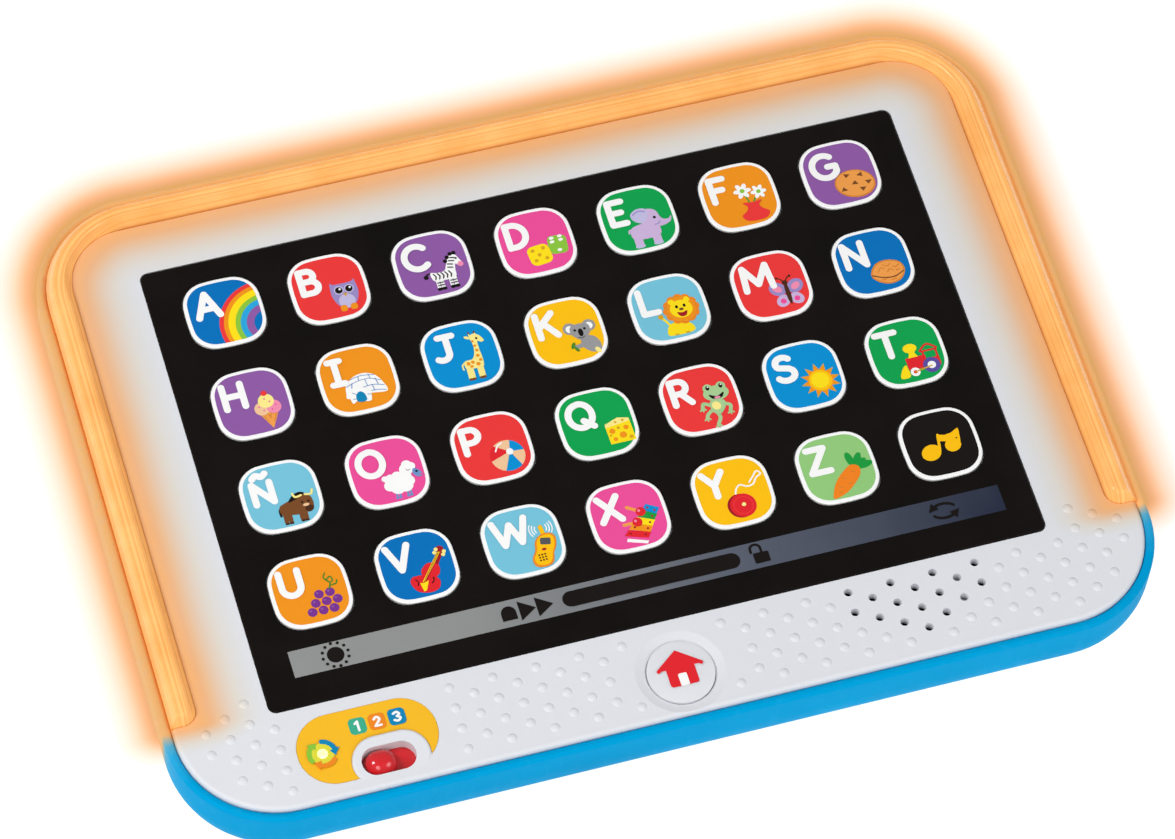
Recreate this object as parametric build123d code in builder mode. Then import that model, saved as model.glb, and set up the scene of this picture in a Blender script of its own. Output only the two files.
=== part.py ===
from build123d import *
from math import pi
import os

# A child's flat toy tablet, in millimetres. +X runs along its top edge, +Y up the keypad and +Z out of
# its face. The origin is on the table, under the middle of the body.

# ---- driving dimensions ----
shell_length = 251.0
shell_width = 180.0
bezel_length = 246.0
bezel_width = 175.0
bezel_corner = 25.0
face_z = 25.0                 # the bezel's flat face
rim_z = 24.5                  # top of the blue shell's rolled rim
wall = 2.4
belly_radius = 16.0           # the shell's round underside edge
plate = 2.5                   # thickness of the bezel's plate

keypad_y = 9.3                # the keypad's middle, above the body's middle
pitch_x = 27.0
pitch_y = 27.3
key_width = 19.7
key_bow = 0.8                 # how far a key's side bows out
key_corner = 6.6
key_gap = 0.3
key_proud = 0.3               # a key's top above the panel
key_travel = 0.9

panel_length = 198.0
panel_width = 127.8
panel_y = 2.4
panel_z = 25.2
panel_thick = 1.0
panel_corner = 2.0

frame_width = 7.0
frame_top = 27.8
frame_shoulder = 25.3         # where the light frame starts to slope in
frame_bevel = 1.8             # width of the slope on each side
frame_seat = 21.8
frame_foot = -59.3            # y of the ends of its legs
frame_inner_corner = 15.0
foot_corner = 4.0

bump_pitch = 5.445            # columns of the lattice of pimples and speaker holes
bump_first = 12.6             # x of the lattice's first column on either side
lattice_top = -65.7           # y of its top row
lattice_step = 5.67
lattice_middle = 0.7          # x of the lattice's middle
speaker_hole = 2.1

home_place = (0.0, -76.0)
home_radius = 8.4
dish_radius = 11.2
home_gap = 0.2

slot_place = (-74.6, -80.4)
slot_length = 13.5
slot_width = 7.1
rim_place = (-73.9, -80.4)    # raised rim round the slider's slot
rim_length = 19.4
rim_width = 13.0
rim_high = 26.6
rim_low = 24.6
knob_length = 8.0
knob_width = 6.8
knob_round = 3.2
knob_top = 26.3
stage_step = 2.0              # slider travel from one stage to the next

label_place = (-78.3, -74.4)
label_length = 34.6
label_width = 18.6
label_corner = 9.0
label_thick = 0.35
label_z = 25.05
lamp_place = (-89.7, -75.2)
lamp_radius = 1.8

# ---- heights of the parts inside ----
plate_z = face_z - plate
board_z = 17.6                # top of the circuit board
board_thick = 1.6
membrane_thick = 1.0
dome_z = 20.15                # top of a rubber dome
flange_top = plate_z - 0.15
flange_z = flange_top - 0.8
stem_z = dome_z + 0.05
skirt_z = 18.0
skirt_wall = 2.0
seat_floor = 1.6              # thickness under the light frame

# ---- fasteners ----
case_screw_places = [(x, y) for x in (-104.0, 104.0) for y in (-70.0, 2.0, 70.0)]
case_screw_radius = 1.5
boss_radius = 5.0
boss_z = 9.6
counterbore_radius = 3.6
counterbore_z = 8.0
board_screw_places = [(x, keypad_y + y) for x in (-67.5, -13.5, 13.5, 67.5) for y in (-pitch_y, pitch_y)]
board_screw_radius = 1.1
pillar_radius = 3.0
bore_clearance = 0.05

# ---- battery bay and its door, on the underside ----
bay_y = keypad_y
bay_length = 50.0
bay_width = 35.0
bay_wall = 1.5
bay_roof = 13.6               # inside height of the bay
cell_radius = 5.2
cell_pitch = 11.2
cell_z = 8.0
cell_length = 44.5
door_length = 64.0
door_width = 41.0
door_x = 4.0
door_gap = 0.35
door_z = 0.2                  # the door's face, above the table
door_thick = 2.0
door_screw_x = 31.5
door_screw_radius = 1.5
ledge_thick = 1.4
ledge_margin = 2.5

# ---- speaker ----
speaker_place = (61.6, -71.5)
speaker_radius = 13.5
clamp_ear_x = 17.5
clamp_ear_y = -9.0
clamp_thick = 1.6
ear_places = [
    (speaker_place[0] + side * clamp_ear_x, speaker_place[1] + clamp_ear_y) for side in (-1, 1)
]

# ---- power slider, on the underside ----
power_place = (-70.0, keypad_y)
power_slot_length = 12.0
power_slot_width = 5.5

row_letters = ["abcdefg", "hijklmn", ["enye", *"opqrst"], [*"uvwxyz", "notes"]]
key_places = {
    f"key_{letter}": ((column - 3) * pitch_x, keypad_y + (1.5 - row) * pitch_y)
    for row, letters in enumerate(row_letters)
    for column, letter in enumerate(letters)
}

standing = (Align.CENTER, Align.CENTER, Align.MIN)
hanging = (Align.CENTER, Align.CENTER, Align.MAX)

os.makedirs("parts", exist_ok=True)


# ---- shared outlines ----
def squircle(width):
    """A key's outline: a square with bowed sides and large soft corners."""
    half = width / 2
    nook = half - key_bow
    with BuildSketch() as outline:
        with BuildLine():
            ThreePointArc((-nook, -nook), (0, -half), (nook, -nook))
            ThreePointArc((nook, -nook), (half, 0), (nook, nook))
            ThreePointArc((nook, nook), (0, half), (-nook, nook))
            ThreePointArc((-nook, nook), (-half, 0), (-nook, -nook))
        make_face()
        fillet(outline.vertices(), key_corner)
    return outline.sketch


def bezel_outline(inset):
    """The bezel's rounded rectangle, drawn inset from its edge."""
    with BuildSketch() as outline:
        RectangleRounded(bezel_length - 2 * inset, bezel_width - 2 * inset, bezel_corner - inset)
    return outline.sketch


def u_band(outer, inner, foot, inner_corner):
    """The U that runs down both sides and across the top, between two insets from the bezel's edge."""
    with BuildSketch() as band:
        RectangleRounded(bezel_length - 2 * outer, bezel_width - 2 * outer, bezel_corner - outer)
        RectangleRounded(
            bezel_length - 2 * inner, bezel_width - 2 * inner, inner_corner, mode=Mode.SUBTRACT
        )
        with Locations((0, foot)):
            Rectangle(
                bezel_length + 10, bezel_width, align=(Align.CENTER, Align.MAX), mode=Mode.SUBTRACT
            )
        if inner > frame_width - 1:
            ends = band.vertices().group_by(Axis.Y)[0]
            fillet(ends.filter_by(lambda v: abs(v.X) < bezel_length / 2 - inner + 1), foot_corner)
    return band.sketch


frame_plan = u_band(0, frame_width, frame_foot, frame_inner_corner)
rebate_plan = u_band(-1, frame_width + 0.1, frame_foot - 0.1, frame_inner_corner - 0.1)
seat_plan = u_band(0, frame_width + 1.6, frame_foot - 1.6, frame_inner_corner - 1.6)
groove_plan = u_band(1.8, 5.0, frame_foot + 3, bezel_corner - 5.0)
strip_plan = u_band(2.0, 4.8, frame_foot + 4, bezel_corner - 4.8)
key_opening = squircle(key_width + 2 * key_gap)
key_outline = squircle(key_width)
key_flange = squircle(key_width + 3.0)


# ---- rear casing: a blue tray with bosses, a battery bay and the power slot ----
with BuildPart() as tray_cavity:
    with BuildSketch(Plane.XY.offset(wall)):
        RectangleRounded(
            shell_length - 2 * wall, shell_width - 2 * wall, bezel_corner + 2.5 - wall
        )
    extrude(amount=rim_z)
    fillet(tray_cavity.faces().sort_by(Axis.Z)[0].edges(), belly_radius - wall)

with BuildPart() as rear_casing:
    with BuildSketch():
        RectangleRounded(shell_length, shell_width, bezel_corner + 2.5)
    extrude(amount=rim_z)
    fillet(rear_casing.faces().sort_by(Axis.Z)[0].edges(), belly_radius)
    add(tray_cavity.part, mode=Mode.SUBTRACT)
    fillet(rear_casing.faces().sort_by(Axis.Z)[-1].edges(), 1.1)
    # screw bosses
    with BuildSketch(Plane.XY.offset(wall - 0.5)):
        with Locations(*case_screw_places):
            Circle(boss_radius)
    extrude(amount=boss_z - wall + 0.5)
    # battery bay, its ledge for the door, and the door screw's boss
    with BuildSketch(Plane.XY.offset(wall - 0.1)):
        with Locations((door_x, bay_y)):
            RectangleRounded(door_length + 2 * ledge_margin, door_width + 2 * ledge_margin, 4)
    extrude(amount=ledge_thick + 0.1)
    with BuildSketch(Plane.XY.offset(wall)):
        with Locations((0, bay_y)):
            Rectangle(bay_length + 2 * bay_wall, bay_width + 2 * bay_wall)
        with Locations((door_screw_x, bay_y)):
            Circle(4)
    extrude(amount=bay_roof + bay_wall - wall)
    with BuildSketch():
        with Locations((0, bay_y)):
            Rectangle(bay_length, bay_width)
    extrude(amount=bay_roof, mode=Mode.SUBTRACT)
    with BuildSketch():
        with Locations((door_x, bay_y)):
            RectangleRounded(door_length + 2 * door_gap, door_width + 2 * door_gap, 3 + door_gap)
    extrude(amount=wall, mode=Mode.SUBTRACT)
    with BuildSketch():
        with Locations((door_screw_x, bay_y)):
            Circle(door_screw_radius + bore_clearance)
    extrude(amount=bay_roof - 2, mode=Mode.SUBTRACT)
    # a way out of the bay for each battery lead
    with BuildSketch(Plane.XY.offset(bay_roof - 2)):
        with Locations((-bay_length / 2 - bay_wall / 2, bay_y - cell_pitch)):
            Rectangle(bay_wall + 1, 3)
        with Locations((-bay_length / 2 - bay_wall / 2, bay_y + cell_pitch)):
            Rectangle(bay_wall + 1, 3)
    extrude(amount=2, mode=Mode.SUBTRACT)
    # screw holes
    with BuildSketch():
        with Locations(*case_screw_places):
            Circle(counterbore_radius)
    extrude(amount=counterbore_z, mode=Mode.SUBTRACT)
    with BuildSketch():
        with Locations(*case_screw_places):
            Circle(case_screw_radius + bore_clearance)
    extrude(amount=boss_z + 1, mode=Mode.SUBTRACT)
    # power slot, its two guide rails and the switch's two posts
    with BuildSketch():
        with Locations(power_place):
            SlotOverall(power_slot_length, power_slot_width)
    extrude(amount=wall + 1, mode=Mode.SUBTRACT)
    with BuildSketch(Plane.XY.offset(wall - 0.1)):
        with Locations(power_place):
            with GridLocations(0, 11.4, 1, 2):
                Rectangle(24, 1.4)
    extrude(amount=1.9)
    with BuildSketch(Plane.XY.offset(wall - 0.1)):
        with Locations(power_place):
            with GridLocations(30, 0, 2, 1):
                Circle(2.2)
    extrude(amount=2.5)
rear_casing.part.label = "rear_casing"
export_step(rear_casing.part, "parts/rear_casing.step")


# ---- front casing: the pale bezel ----
with BuildPart() as slot_rim:
    with BuildSketch(Plane.XY.offset(face_z - 0.5)):
        with Locations(rim_place):
            SlotOverall(rim_length, rim_width)
    extrude(amount=2.4)
    # its top slopes down towards the bezel's lower edge
    with BuildSketch(Plane.YZ):
        with BuildLine():
            Polyline((-60, rim_high), (-72.5, rim_high), (-87, rim_low), (-87, 40), (-60, 40), close=True)
        make_face()
    extrude(amount=bezel_length / 2, both=True, mode=Mode.SUBTRACT)
    fillet(slot_rim.faces().sort_by(Axis.Z)[-1].edges(), 0.7)

with BuildPart() as front_casing:
    with BuildSketch(Plane.XY.offset(skirt_z)):
        add(bezel_outline(0))
    extrude(amount=face_z - skirt_z)
    fillet(front_casing.faces().sort_by(Axis.Z)[-1].edges(), 1.2)
    # hollow the underside, leaving a skirt and a seat for the light frame
    with BuildSketch(Plane.XY.offset(skirt_z)):
        add(bezel_outline(skirt_wall))
    extrude(amount=frame_seat - seat_floor - skirt_z, mode=Mode.SUBTRACT)
    with BuildSketch(Plane.XY.offset(frame_seat - seat_floor)):
        add(bezel_outline(skirt_wall))
        add(seat_plan, mode=Mode.SUBTRACT)
    extrude(amount=plate_z - frame_seat + seat_floor, mode=Mode.SUBTRACT)
    with BuildSketch(Plane.XY.offset(frame_seat)):
        add(rebate_plan)
    extrude(amount=plate, mode=Mode.SUBTRACT)
    with BuildSketch(Plane.XY.offset(frame_seat + plate)):
        add(rebate_plan)
    extrude(amount=plate, mode=Mode.SUBTRACT)
    # a raised rim round the slider's slot
    add(slot_rim.part)
    # screw pillars
    with BuildSketch(Plane.XY.offset(boss_z)):
        with Locations(*case_screw_places):
            Circle(pillar_radius + 0.5)
    extrude(amount=plate_z - boss_z + 0.5)
    with BuildSketch(Plane.XY.offset(board_z)):
        with Locations(*board_screw_places):
            Circle(pillar_radius)
    extrude(amount=plate_z - board_z + 0.5)
    with BuildSketch(Plane.XY.offset(plate_z - 2.3)):
        with Locations(*ear_places):
            Circle(pillar_radius)
    extrude(amount=2.8)
    # guide rails for the stage slider
    with BuildSketch(Plane.XY.offset(plate_z - 1.9)):
        with Locations(slot_place):
            with GridLocations(0, 11.6, 1, 2):
                Rectangle(23, 1.2)
    extrude(amount=2.0)
    # recess for the black panel, and an opening for each key
    with BuildSketch(Plane.XY.offset(panel_z - panel_thick)):
        with Locations((0, panel_y)):
            RectangleRounded(panel_length + 0.4, panel_width + 0.4, panel_corner + 0.2)
    extrude(amount=panel_thick + 1, mode=Mode.SUBTRACT)
    with BuildSketch(Plane.XY.offset(plate_z)):
        with Locations(*key_places.values()):
            add(key_opening)
    extrude(amount=plate, mode=Mode.SUBTRACT)
    # home button's dish and hole
    with Locations((*home_place, face_z - 0.4)):
        Cone(home_radius + home_gap, dish_radius, 0.8, mode=Mode.SUBTRACT)
    with BuildSketch(Plane.XY.offset(plate_z)):
        with Locations(home_place):
            Circle(home_radius + home_gap)
    extrude(amount=plate, mode=Mode.SUBTRACT)
    # label recess, lamp hole and slider slot
    with BuildSketch(Plane.XY.offset(label_z - label_thick)):
        with Locations(label_place):
            RectangleRounded(label_length + 0.2, label_width + 0.2, label_corner + 0.1)
        with Locations(rim_place):
            SlotOverall(rim_length, rim_width, mode=Mode.SUBTRACT)
    extrude(amount=label_thick, mode=Mode.SUBTRACT)
    with BuildSketch(Plane.XY.offset(plate_z - 1)):
        with Locations(lamp_place):
            Circle(lamp_radius + 0.1)
        with Locations(slot_place):
            SlotOverall(slot_length, slot_width)
    extrude(amount=plate + 4, mode=Mode.SUBTRACT)
    # speaker holes: seven columns of the lattice, longest in the middle
    with BuildSketch(Plane.XY.offset(plate_z)):
        for column, rows in zip(range(6, 13), (2, 2, 3, 3, 3, 2, 2)):
            half_step = lattice_step / 2 if column % 2 else 0
            for row in range(rows):
                hole_y = lattice_top - half_step - row * lattice_step
                with Locations((lattice_middle + bump_first + column * bump_pitch, hole_y)):
                    Circle(speaker_hole / 2)
    extrude(amount=plate + 1, mode=Mode.SUBTRACT)
    # screw pilots
    with BuildSketch(Plane.XY.offset(boss_z)):
        with Locations(*case_screw_places):
            Circle(case_screw_radius + bore_clearance)
    extrude(amount=10, mode=Mode.SUBTRACT)
    with BuildSketch(Plane.XY.offset(board_z)):
        with Locations(*board_screw_places):
            Circle(board_screw_radius + bore_clearance)
    extrude(amount=3.7, mode=Mode.SUBTRACT)
    with BuildSketch(Plane.XY.offset(plate_z - 2.3)):
        with Locations(*ear_places):
            Circle(board_screw_radius + bore_clearance)
    extrude(amount=3.7, mode=Mode.SUBTRACT)
front_casing.part.label = "front_casing"
export_step(front_casing.part, "parts/front_casing.step")


# ---- light frame: a clear U-shaped bar with a crowned top and a groove below for its lamps ----
with BuildPart() as light_frame:
    with BuildSketch(Plane.XY.offset(frame_seat)):
        add(frame_plan)
    extrude(amount=frame_top - frame_seat)
    crown = light_frame.faces().sort_by(Axis.Z)[-1]
    chamfer(crown.edges(), frame_bevel, frame_top - frame_shoulder, reference=crown)
    fillet(light_frame.faces().sort_by(Axis.Z)[-1].edges(), 0.9)
    with BuildSketch(Plane.XY.offset(frame_seat)):
        add(groove_plan)
    extrude(amount=2.0, mode=Mode.SUBTRACT)
light_frame.part.label = "light_frame"
export_step(light_frame.part, "parts/light_frame.step")

with BuildPart() as frame_led_strip:
    with BuildSketch(Plane.XY.offset(frame_seat)):
        add(strip_plan)
    extrude(amount=0.5)
frame_led_strip.part.label = "frame_led_strip"
export_step(frame_led_strip.part, "parts/frame_led_strip.step")

with BuildPart() as frame_leds:
    with BuildSketch(Plane.XY.offset(frame_seat + 0.5)):
        with Locations((0, 0)):
            with GridLocations(bezel_length - 6.8, 22, 2, 5):
                Rectangle(2.2, 2.8)
        with Locations((0, bezel_width / 2 - 3.4)):
            with GridLocations(22, 0, 9, 1):
                Rectangle(2.8, 2.2)
    extrude(amount=0.9)
frame_leds.part.label = "frame_leds"
export_step(frame_leds.part, "parts/frame_leds.step")


# ---- black panel over the keypad ----
with BuildPart() as screen_overlay:
    with BuildSketch(Plane.XY.offset(panel_z - panel_thick)):
        with Locations((0, panel_y)):
            RectangleRounded(panel_length, panel_width, panel_corner)
        with Locations(*key_places.values()):
            add(key_opening, mode=Mode.SUBTRACT)
    extrude(amount=panel_thick)
    chamfer(screen_overlay.faces().sort_by(Axis.Z)[-1].outer_wire().edges(), 0.3)
screen_overlay.part.label = "screen_overlay"
export_step(screen_overlay.part, "parts/screen_overlay.step")


# ---- keys: a cap, a flange that keeps it under the plate, and a stem that stands on a dome ----
for node, place in key_places.items():
    with BuildPart() as key:
        with BuildSketch(Plane.XY.offset(flange_z)):
            with Locations(place):
                add(key_outline)
        extrude(amount=panel_z + key_proud - flange_z)
        fillet(key.faces().sort_by(Axis.Z)[-1].edges(), 0.35)
        with BuildSketch(Plane.XY.offset(flange_z)):
            with Locations(place):
                add(key_flange)
        extrude(amount=flange_top - flange_z)
        with BuildSketch(Plane.XY.offset(stem_z)):
            with Locations(place):
                Circle(2.6)
        extrude(amount=flange_z - stem_z)
    key.part.label = node
    export_step(key.part, f"parts/{node}.step")


# ---- home button: a round domed cap ----
with BuildPart() as home_button:
    with BuildSketch(Plane.XY.offset(flange_z)):
        with Locations(home_place):
            Circle(home_radius)
    extrude(amount=face_z - 0.1 - flange_z)
    with BuildSketch(Plane.XZ.offset(-home_place[1])):
        with BuildLine():
            ThreePointArc((0, face_z + 0.6), (home_radius / 2, face_z + 0.43), (home_radius, face_z - 0.1))
            Line((home_radius, face_z - 0.1), (0, face_z - 0.1))
            Line((0, face_z - 0.1), (0, face_z + 0.6))
        make_face()
    revolve(axis=Axis((*home_place, 0), (0, 0, 1)))
    with BuildSketch(Plane.XY.offset(flange_z)):
        with Locations(home_place):
            Circle(home_radius + 0.9)
    extrude(amount=flange_top - flange_z)
    with BuildSketch(Plane.XY.offset(stem_z)):
        with Locations(home_place):
            Circle(2.6)
    extrude(amount=flange_z - stem_z)
home_button.part.label = "home_button"
export_step(home_button.part, "parts/home_button.step")


# ---- yellow label, with its lamp ----
with BuildPart() as control_label:
    with BuildSketch(Plane.XY.offset(label_z - label_thick)):
        with Locations(label_place):
            RectangleRounded(label_length, label_width, label_corner)
        with Locations(rim_place):
            SlotOverall(rim_length + 0.2, rim_width + 0.2, mode=Mode.SUBTRACT)
        with Locations(lamp_place):
            Circle(lamp_radius + 0.1, mode=Mode.SUBTRACT)
    extrude(amount=label_thick)
control_label.part.label = "control_label"
export_step(control_label.part, "parts/control_label.step")

lens_x = lamp_place[0]
lens_top = label_z + 0.15
with BuildPart() as indicator_lens:
    with BuildSketch(Plane.XZ.offset(-lamp_place[1])):
        with BuildLine():
            crown = ThreePointArc(
                (lens_x, lens_top + 0.4),
                (lens_x + 1.0, lens_top + 0.28),
                (lens_x + lamp_radius, lens_top),
            )
            Polyline(
                crown @ 1,
                (lens_x + lamp_radius, flange_top),
                (lens_x + lamp_radius + 0.8, flange_top),
                (lens_x + lamp_radius + 0.8, flange_z),
                (lens_x + lamp_radius, flange_z),
                (lens_x + lamp_radius - 0.3, board_z + 1.2),
                (lens_x, board_z + 1.2),
                crown @ 0,
            )
        make_face()
    revolve(axis=Axis((*lamp_place, 0), (0, 0, 1)))
indicator_lens.part.label = "indicator_lens"
export_step(indicator_lens.part, "parts/indicator_lens.step")

with BuildPart() as indicator_led:
    with BuildSketch(Plane.XY.offset(board_z)):
        with Locations(lamp_place):
            RectangleRounded(3.0, 2.8, 0.3)
    extrude(amount=1.0)
    fillet(indicator_led.faces().sort_by(Axis.Z)[-1].edges(), 0.2)
indicator_led.part.label = "indicator_led"
export_step(indicator_led.part, "parts/indicator_led.step")


# ---- stage slider: a red carriage under the plate with a rounded grip in the slot ----
stage_x = slot_place[0] - stage_step
stage_y = slot_place[1]
with BuildPart() as stage_slider:
    with BuildSketch(Plane.XY.offset(plate_z - 1.7)):
        with Locations((stage_x, stage_y)):
            RectangleRounded(20.5, 9.6, 1.5)
        with Locations((stage_x, stage_y)):
            Rectangle(1.7, 2.3, mode=Mode.SUBTRACT)
    extrude(amount=1.5)
    with BuildSketch(Plane.XY.offset(plate_z - 0.3)):
        with Locations((stage_x, stage_y)):
            SlotOverall(knob_length, knob_width)
    extrude(amount=knob_top - plate_z + 0.3)
    fillet(stage_slider.faces().sort_by(Axis.Z)[-1].edges(), knob_round)
stage_slider.part.label = "stage_slider"
export_step(stage_slider.part, "parts/stage_slider.step")


def slide_switch(place_x, place_y, low, up):
    """A small metal-cased slide switch with a slot for its lever in the face that looks along up."""
    open_z = low + 0.6 if up > 0 else low
    with BuildPart() as can:
        with BuildSketch(Plane.XY.offset(low)):
            with Locations((place_x, place_y)):
                RectangleRounded(13.0, 6.6, 0.5)
        extrude(amount=2.6)
        with BuildSketch(Plane.XY.offset(low + 0.5)):
            with Locations((place_x, place_y)):
                Rectangle(11.6, 5.2)
        extrude(amount=1.6, mode=Mode.SUBTRACT)
        with BuildSketch(Plane.XY.offset(open_z)):
            with Locations((place_x, place_y)):
                Rectangle(6.4, 2.4)
        extrude(amount=2.0, mode=Mode.SUBTRACT)
    return can.part


with BuildPart() as stage_switch_body:
    add(slide_switch(slot_place[0], stage_y, board_z, 1))
stage_switch_body.part.label = "stage_switch_body"
export_step(stage_switch_body.part, "parts/stage_switch_body.step")

with BuildPart() as stage_switch_lever:
    with BuildSketch(Plane.XY.offset(board_z + 0.7)):
        with Locations((stage_x, stage_y)):
            Rectangle(5.0, 4.4)
    extrude(amount=1.2)
    with BuildSketch(Plane.XY.offset(board_z + 0.7)):
        with Locations((stage_x, stage_y)):
            Rectangle(1.5, 2.1)
    extrude(amount=plate_z - 0.5 - board_z - 0.7)
stage_switch_lever.part.label = "stage_switch_lever"
export_step(stage_switch_lever.part, "parts/stage_switch_lever.step")


# ---- power slider, through the underside, with its switch above ----
power_x = power_place[0] - stage_step
power_low = 5.2
with BuildPart() as power_slider:
    with BuildSketch(Plane.XY.offset(wall + 0.2)):
        with Locations((power_x, power_place[1])):
            RectangleRounded(19.0, 9.6, 1.2)
        with Locations((power_x, power_place[1])):
            Rectangle(1.7, 2.3, mode=Mode.SUBTRACT)
    extrude(amount=1.5)
    with BuildSketch(Plane.XY.offset(0.6)):
        with Locations((power_x, power_place[1])):
            RectangleRounded(5.2, 4.9, 0.8)
    extrude(amount=wall - 0.2)
    with BuildSketch(Plane.XY.offset(0.6)):
        with Locations((power_x, power_place[1])):
            with GridLocations(1.5, 0, 3, 1):
                Rectangle(0.6, 6)
    extrude(amount=0.5, mode=Mode.SUBTRACT)
power_slider.part.label = "power_slider"
export_step(power_slider.part, "parts/power_slider.step")

with BuildPart() as power_switch_body:
    add(slide_switch(*power_place, power_low, -1))
    with BuildSketch(Plane.XY.offset(power_low + 2.6)):
        with Locations(power_place):
            RectangleRounded(36, 9, 1)
    extrude(amount=1.2)
    with BuildSketch(Plane.XY.offset(wall + 2.4)):
        with Locations(power_place):
            with GridLocations(30, 0, 2, 1):
                Circle(2.2)
    extrude(amount=power_low + 2.7 - wall - 2.4)
power_switch_body.part.label = "power_switch_body"
export_step(power_switch_body.part, "parts/power_switch_body.step")

with BuildPart() as power_switch_lever:
    with BuildSketch(Plane.XY.offset(power_low + 0.7)):
        with Locations((power_x, power_place[1])):
            Rectangle(5.0, 4.4)
    extrude(amount=1.2)
    with BuildSketch(Plane.XY.offset(wall + 0.5)):
        with Locations((power_x, power_place[1])):
            Rectangle(1.5, 2.1)
    extrude(amount=power_low + 0.8 - wall - 0.5)
power_switch_lever.part.label = "power_switch_lever"
export_step(power_switch_lever.part, "parts/power_switch_lever.step")


# ---- rubber sheet with a dome under each key ----
dome_places = [*key_places.values(), home_place]
sheet_z = board_z + membrane_thick
with BuildPart() as keypad_membrane:
    with BuildSketch(Plane.XY.offset(board_z)):
        with Locations((0, keypad_y)):
            RectangleRounded(7 * pitch_x + 4, 4 * pitch_y + 4, 3)
        with Locations((0, -68)):
            Rectangle(24, 32)
        with Locations(*board_screw_places):
            Circle(pillar_radius + 0.3, mode=Mode.SUBTRACT)
    extrude(amount=membrane_thick)
    for dome_place in dome_places:
        with Locations((*dome_place, sheet_z)):
            Cone(5.4, 3.4, dome_z - sheet_z, align=standing)
        with Locations((*dome_place, board_z)):
            Cone(4.8, 2.6, dome_z - board_z - 0.9, align=standing, mode=Mode.SUBTRACT)
keypad_membrane.part.label = "keypad_membrane"
export_step(keypad_membrane.part, "parts/keypad_membrane.step")


# ---- circuit board and what stands on it ----
with BuildPart() as main_circuit_board:
    with BuildSketch(Plane.XY.offset(board_z - board_thick)):
        with Locations((0, 2)):
            RectangleRounded(196, 124, 3)
        with Locations((-28, -70)):
            RectangleRounded(132, 29, 3)
        with Locations(*board_screw_places):
            Circle(board_screw_radius + 0.15, mode=Mode.SUBTRACT)
    extrude(amount=board_thick)
main_circuit_board.part.label = "main_circuit_board"
export_step(main_circuit_board.part, "parts/main_circuit_board.step")

underside_z = board_z - board_thick
speaker_socket = (32.0, -74.0)
battery_socket = (-36.0, -22.0)
with BuildPart() as board_components:
    with Locations((60, 0, underside_z)):
        Cylinder(7, 1.4, align=hanging)
    with Locations((-60, -36, underside_z)):
        Cylinder(3.2, 7.5, align=hanging)
    with Locations((46, -24, underside_z)):
        Cylinder(2.5, 6, align=hanging)
    with Locations((*speaker_socket, underside_z)):
        Box(6, 7.5, 4, align=hanging)
    with Locations((*battery_socket, underside_z)):
        Box(7.5, 6, 4, align=hanging)
    with Locations((75, -30, underside_z)):
        Box(10, 6, 1.6, align=hanging)
    for chip_x in range(-84, -44, 8):
        with Locations((chip_x, 40, underside_z)):
            Box(3.2, 1.6, 0.7, align=hanging)
board_components.part.label = "board_components"
export_step(board_components.part, "parts/board_components.step")


# ---- speaker: basket, cone, magnet and the clamp that holds it under its holes ----
speaker_top = plate_z - 0.1
terminal_reach = 9.9          # from the speaker's axis to the end of its terminal strip
with BuildPart() as speaker_basket:
    with BuildSketch(Plane.XY.offset(speaker_top - 1.0)):
        with Locations(speaker_place):
            Circle(speaker_radius)
            Circle(speaker_radius - 1.9, mode=Mode.SUBTRACT)
    extrude(amount=1.0)
    with Locations((*speaker_place, speaker_top - 4.6)):
        Cone(7.4, 11.8, 3.8, align=standing)
        Cone(6.6, 11.2, 3.81, align=standing, mode=Mode.SUBTRACT)
    with BuildSketch(Plane.XY.offset(speaker_top - 5.4)):
        with Locations((speaker_place[0] - terminal_reach, speaker_place[1])):
            Rectangle(terminal_reach, 7, align=(Align.MIN, Align.CENTER))
        with Locations(speaker_place):
            Circle(7.4)
            Circle(4.0, mode=Mode.SUBTRACT)
    extrude(amount=0.9)
speaker_basket.part.label = "speaker_basket"
export_step(speaker_basket.part, "parts/speaker_basket.step")

with BuildPart() as speaker_cone:
    with Locations((*speaker_place, speaker_top - 3.4)):
        Cone(4.6, 10.6, 2.6, align=standing)
        Cone(4.0, 10.2, 2.6, align=standing, mode=Mode.SUBTRACT)
    with BuildSketch(Plane.XY.offset(speaker_top - 3.6)):
        with Locations(speaker_place):
            Circle(4.6)
    extrude(amount=0.5)
speaker_cone.part.label = "speaker_cone"
export_step(speaker_cone.part, "parts/speaker_cone.step")

with BuildPart() as speaker_magnet:
    with BuildSketch(Plane.XY.offset(speaker_top - 8.9)):
        with Locations(speaker_place):
            Circle(7.0)
    extrude(amount=3.5)
    chamfer(speaker_magnet.faces().sort_by(Axis.Z)[0].edges(), 0.5)
speaker_magnet.part.label = "speaker_magnet"
export_step(speaker_magnet.part, "parts/speaker_magnet.step")

clamp_z = plate_z - 2.3 - clamp_thick
with BuildPart() as speaker_clamp:
    with BuildSketch(Plane.XY.offset(clamp_z)):
        with Locations(speaker_place):
            Circle(speaker_radius + 0.4)
        with Locations((speaker_place[0], ear_places[0][1])):
            SlotCenterToCenter(2 * clamp_ear_x, 6.4)
        with Locations(speaker_place):
            Circle(speaker_radius - 1.6, mode=Mode.SUBTRACT)
        with Locations(*ear_places):
            Circle(board_screw_radius + 0.15, mode=Mode.SUBTRACT)
    extrude(amount=clamp_thick)
    with BuildSketch(Plane.XY.offset(clamp_z + clamp_thick)):
        with Locations(speaker_place):
            Circle(speaker_radius + 0.4)
            Circle(speaker_radius - 1.6, mode=Mode.SUBTRACT)
    extrude(amount=speaker_top - 1.0 - clamp_z - clamp_thick)
speaker_clamp.part.label = "speaker_clamp"
export_step(speaker_clamp.part, "parts/speaker_clamp.step")


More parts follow.
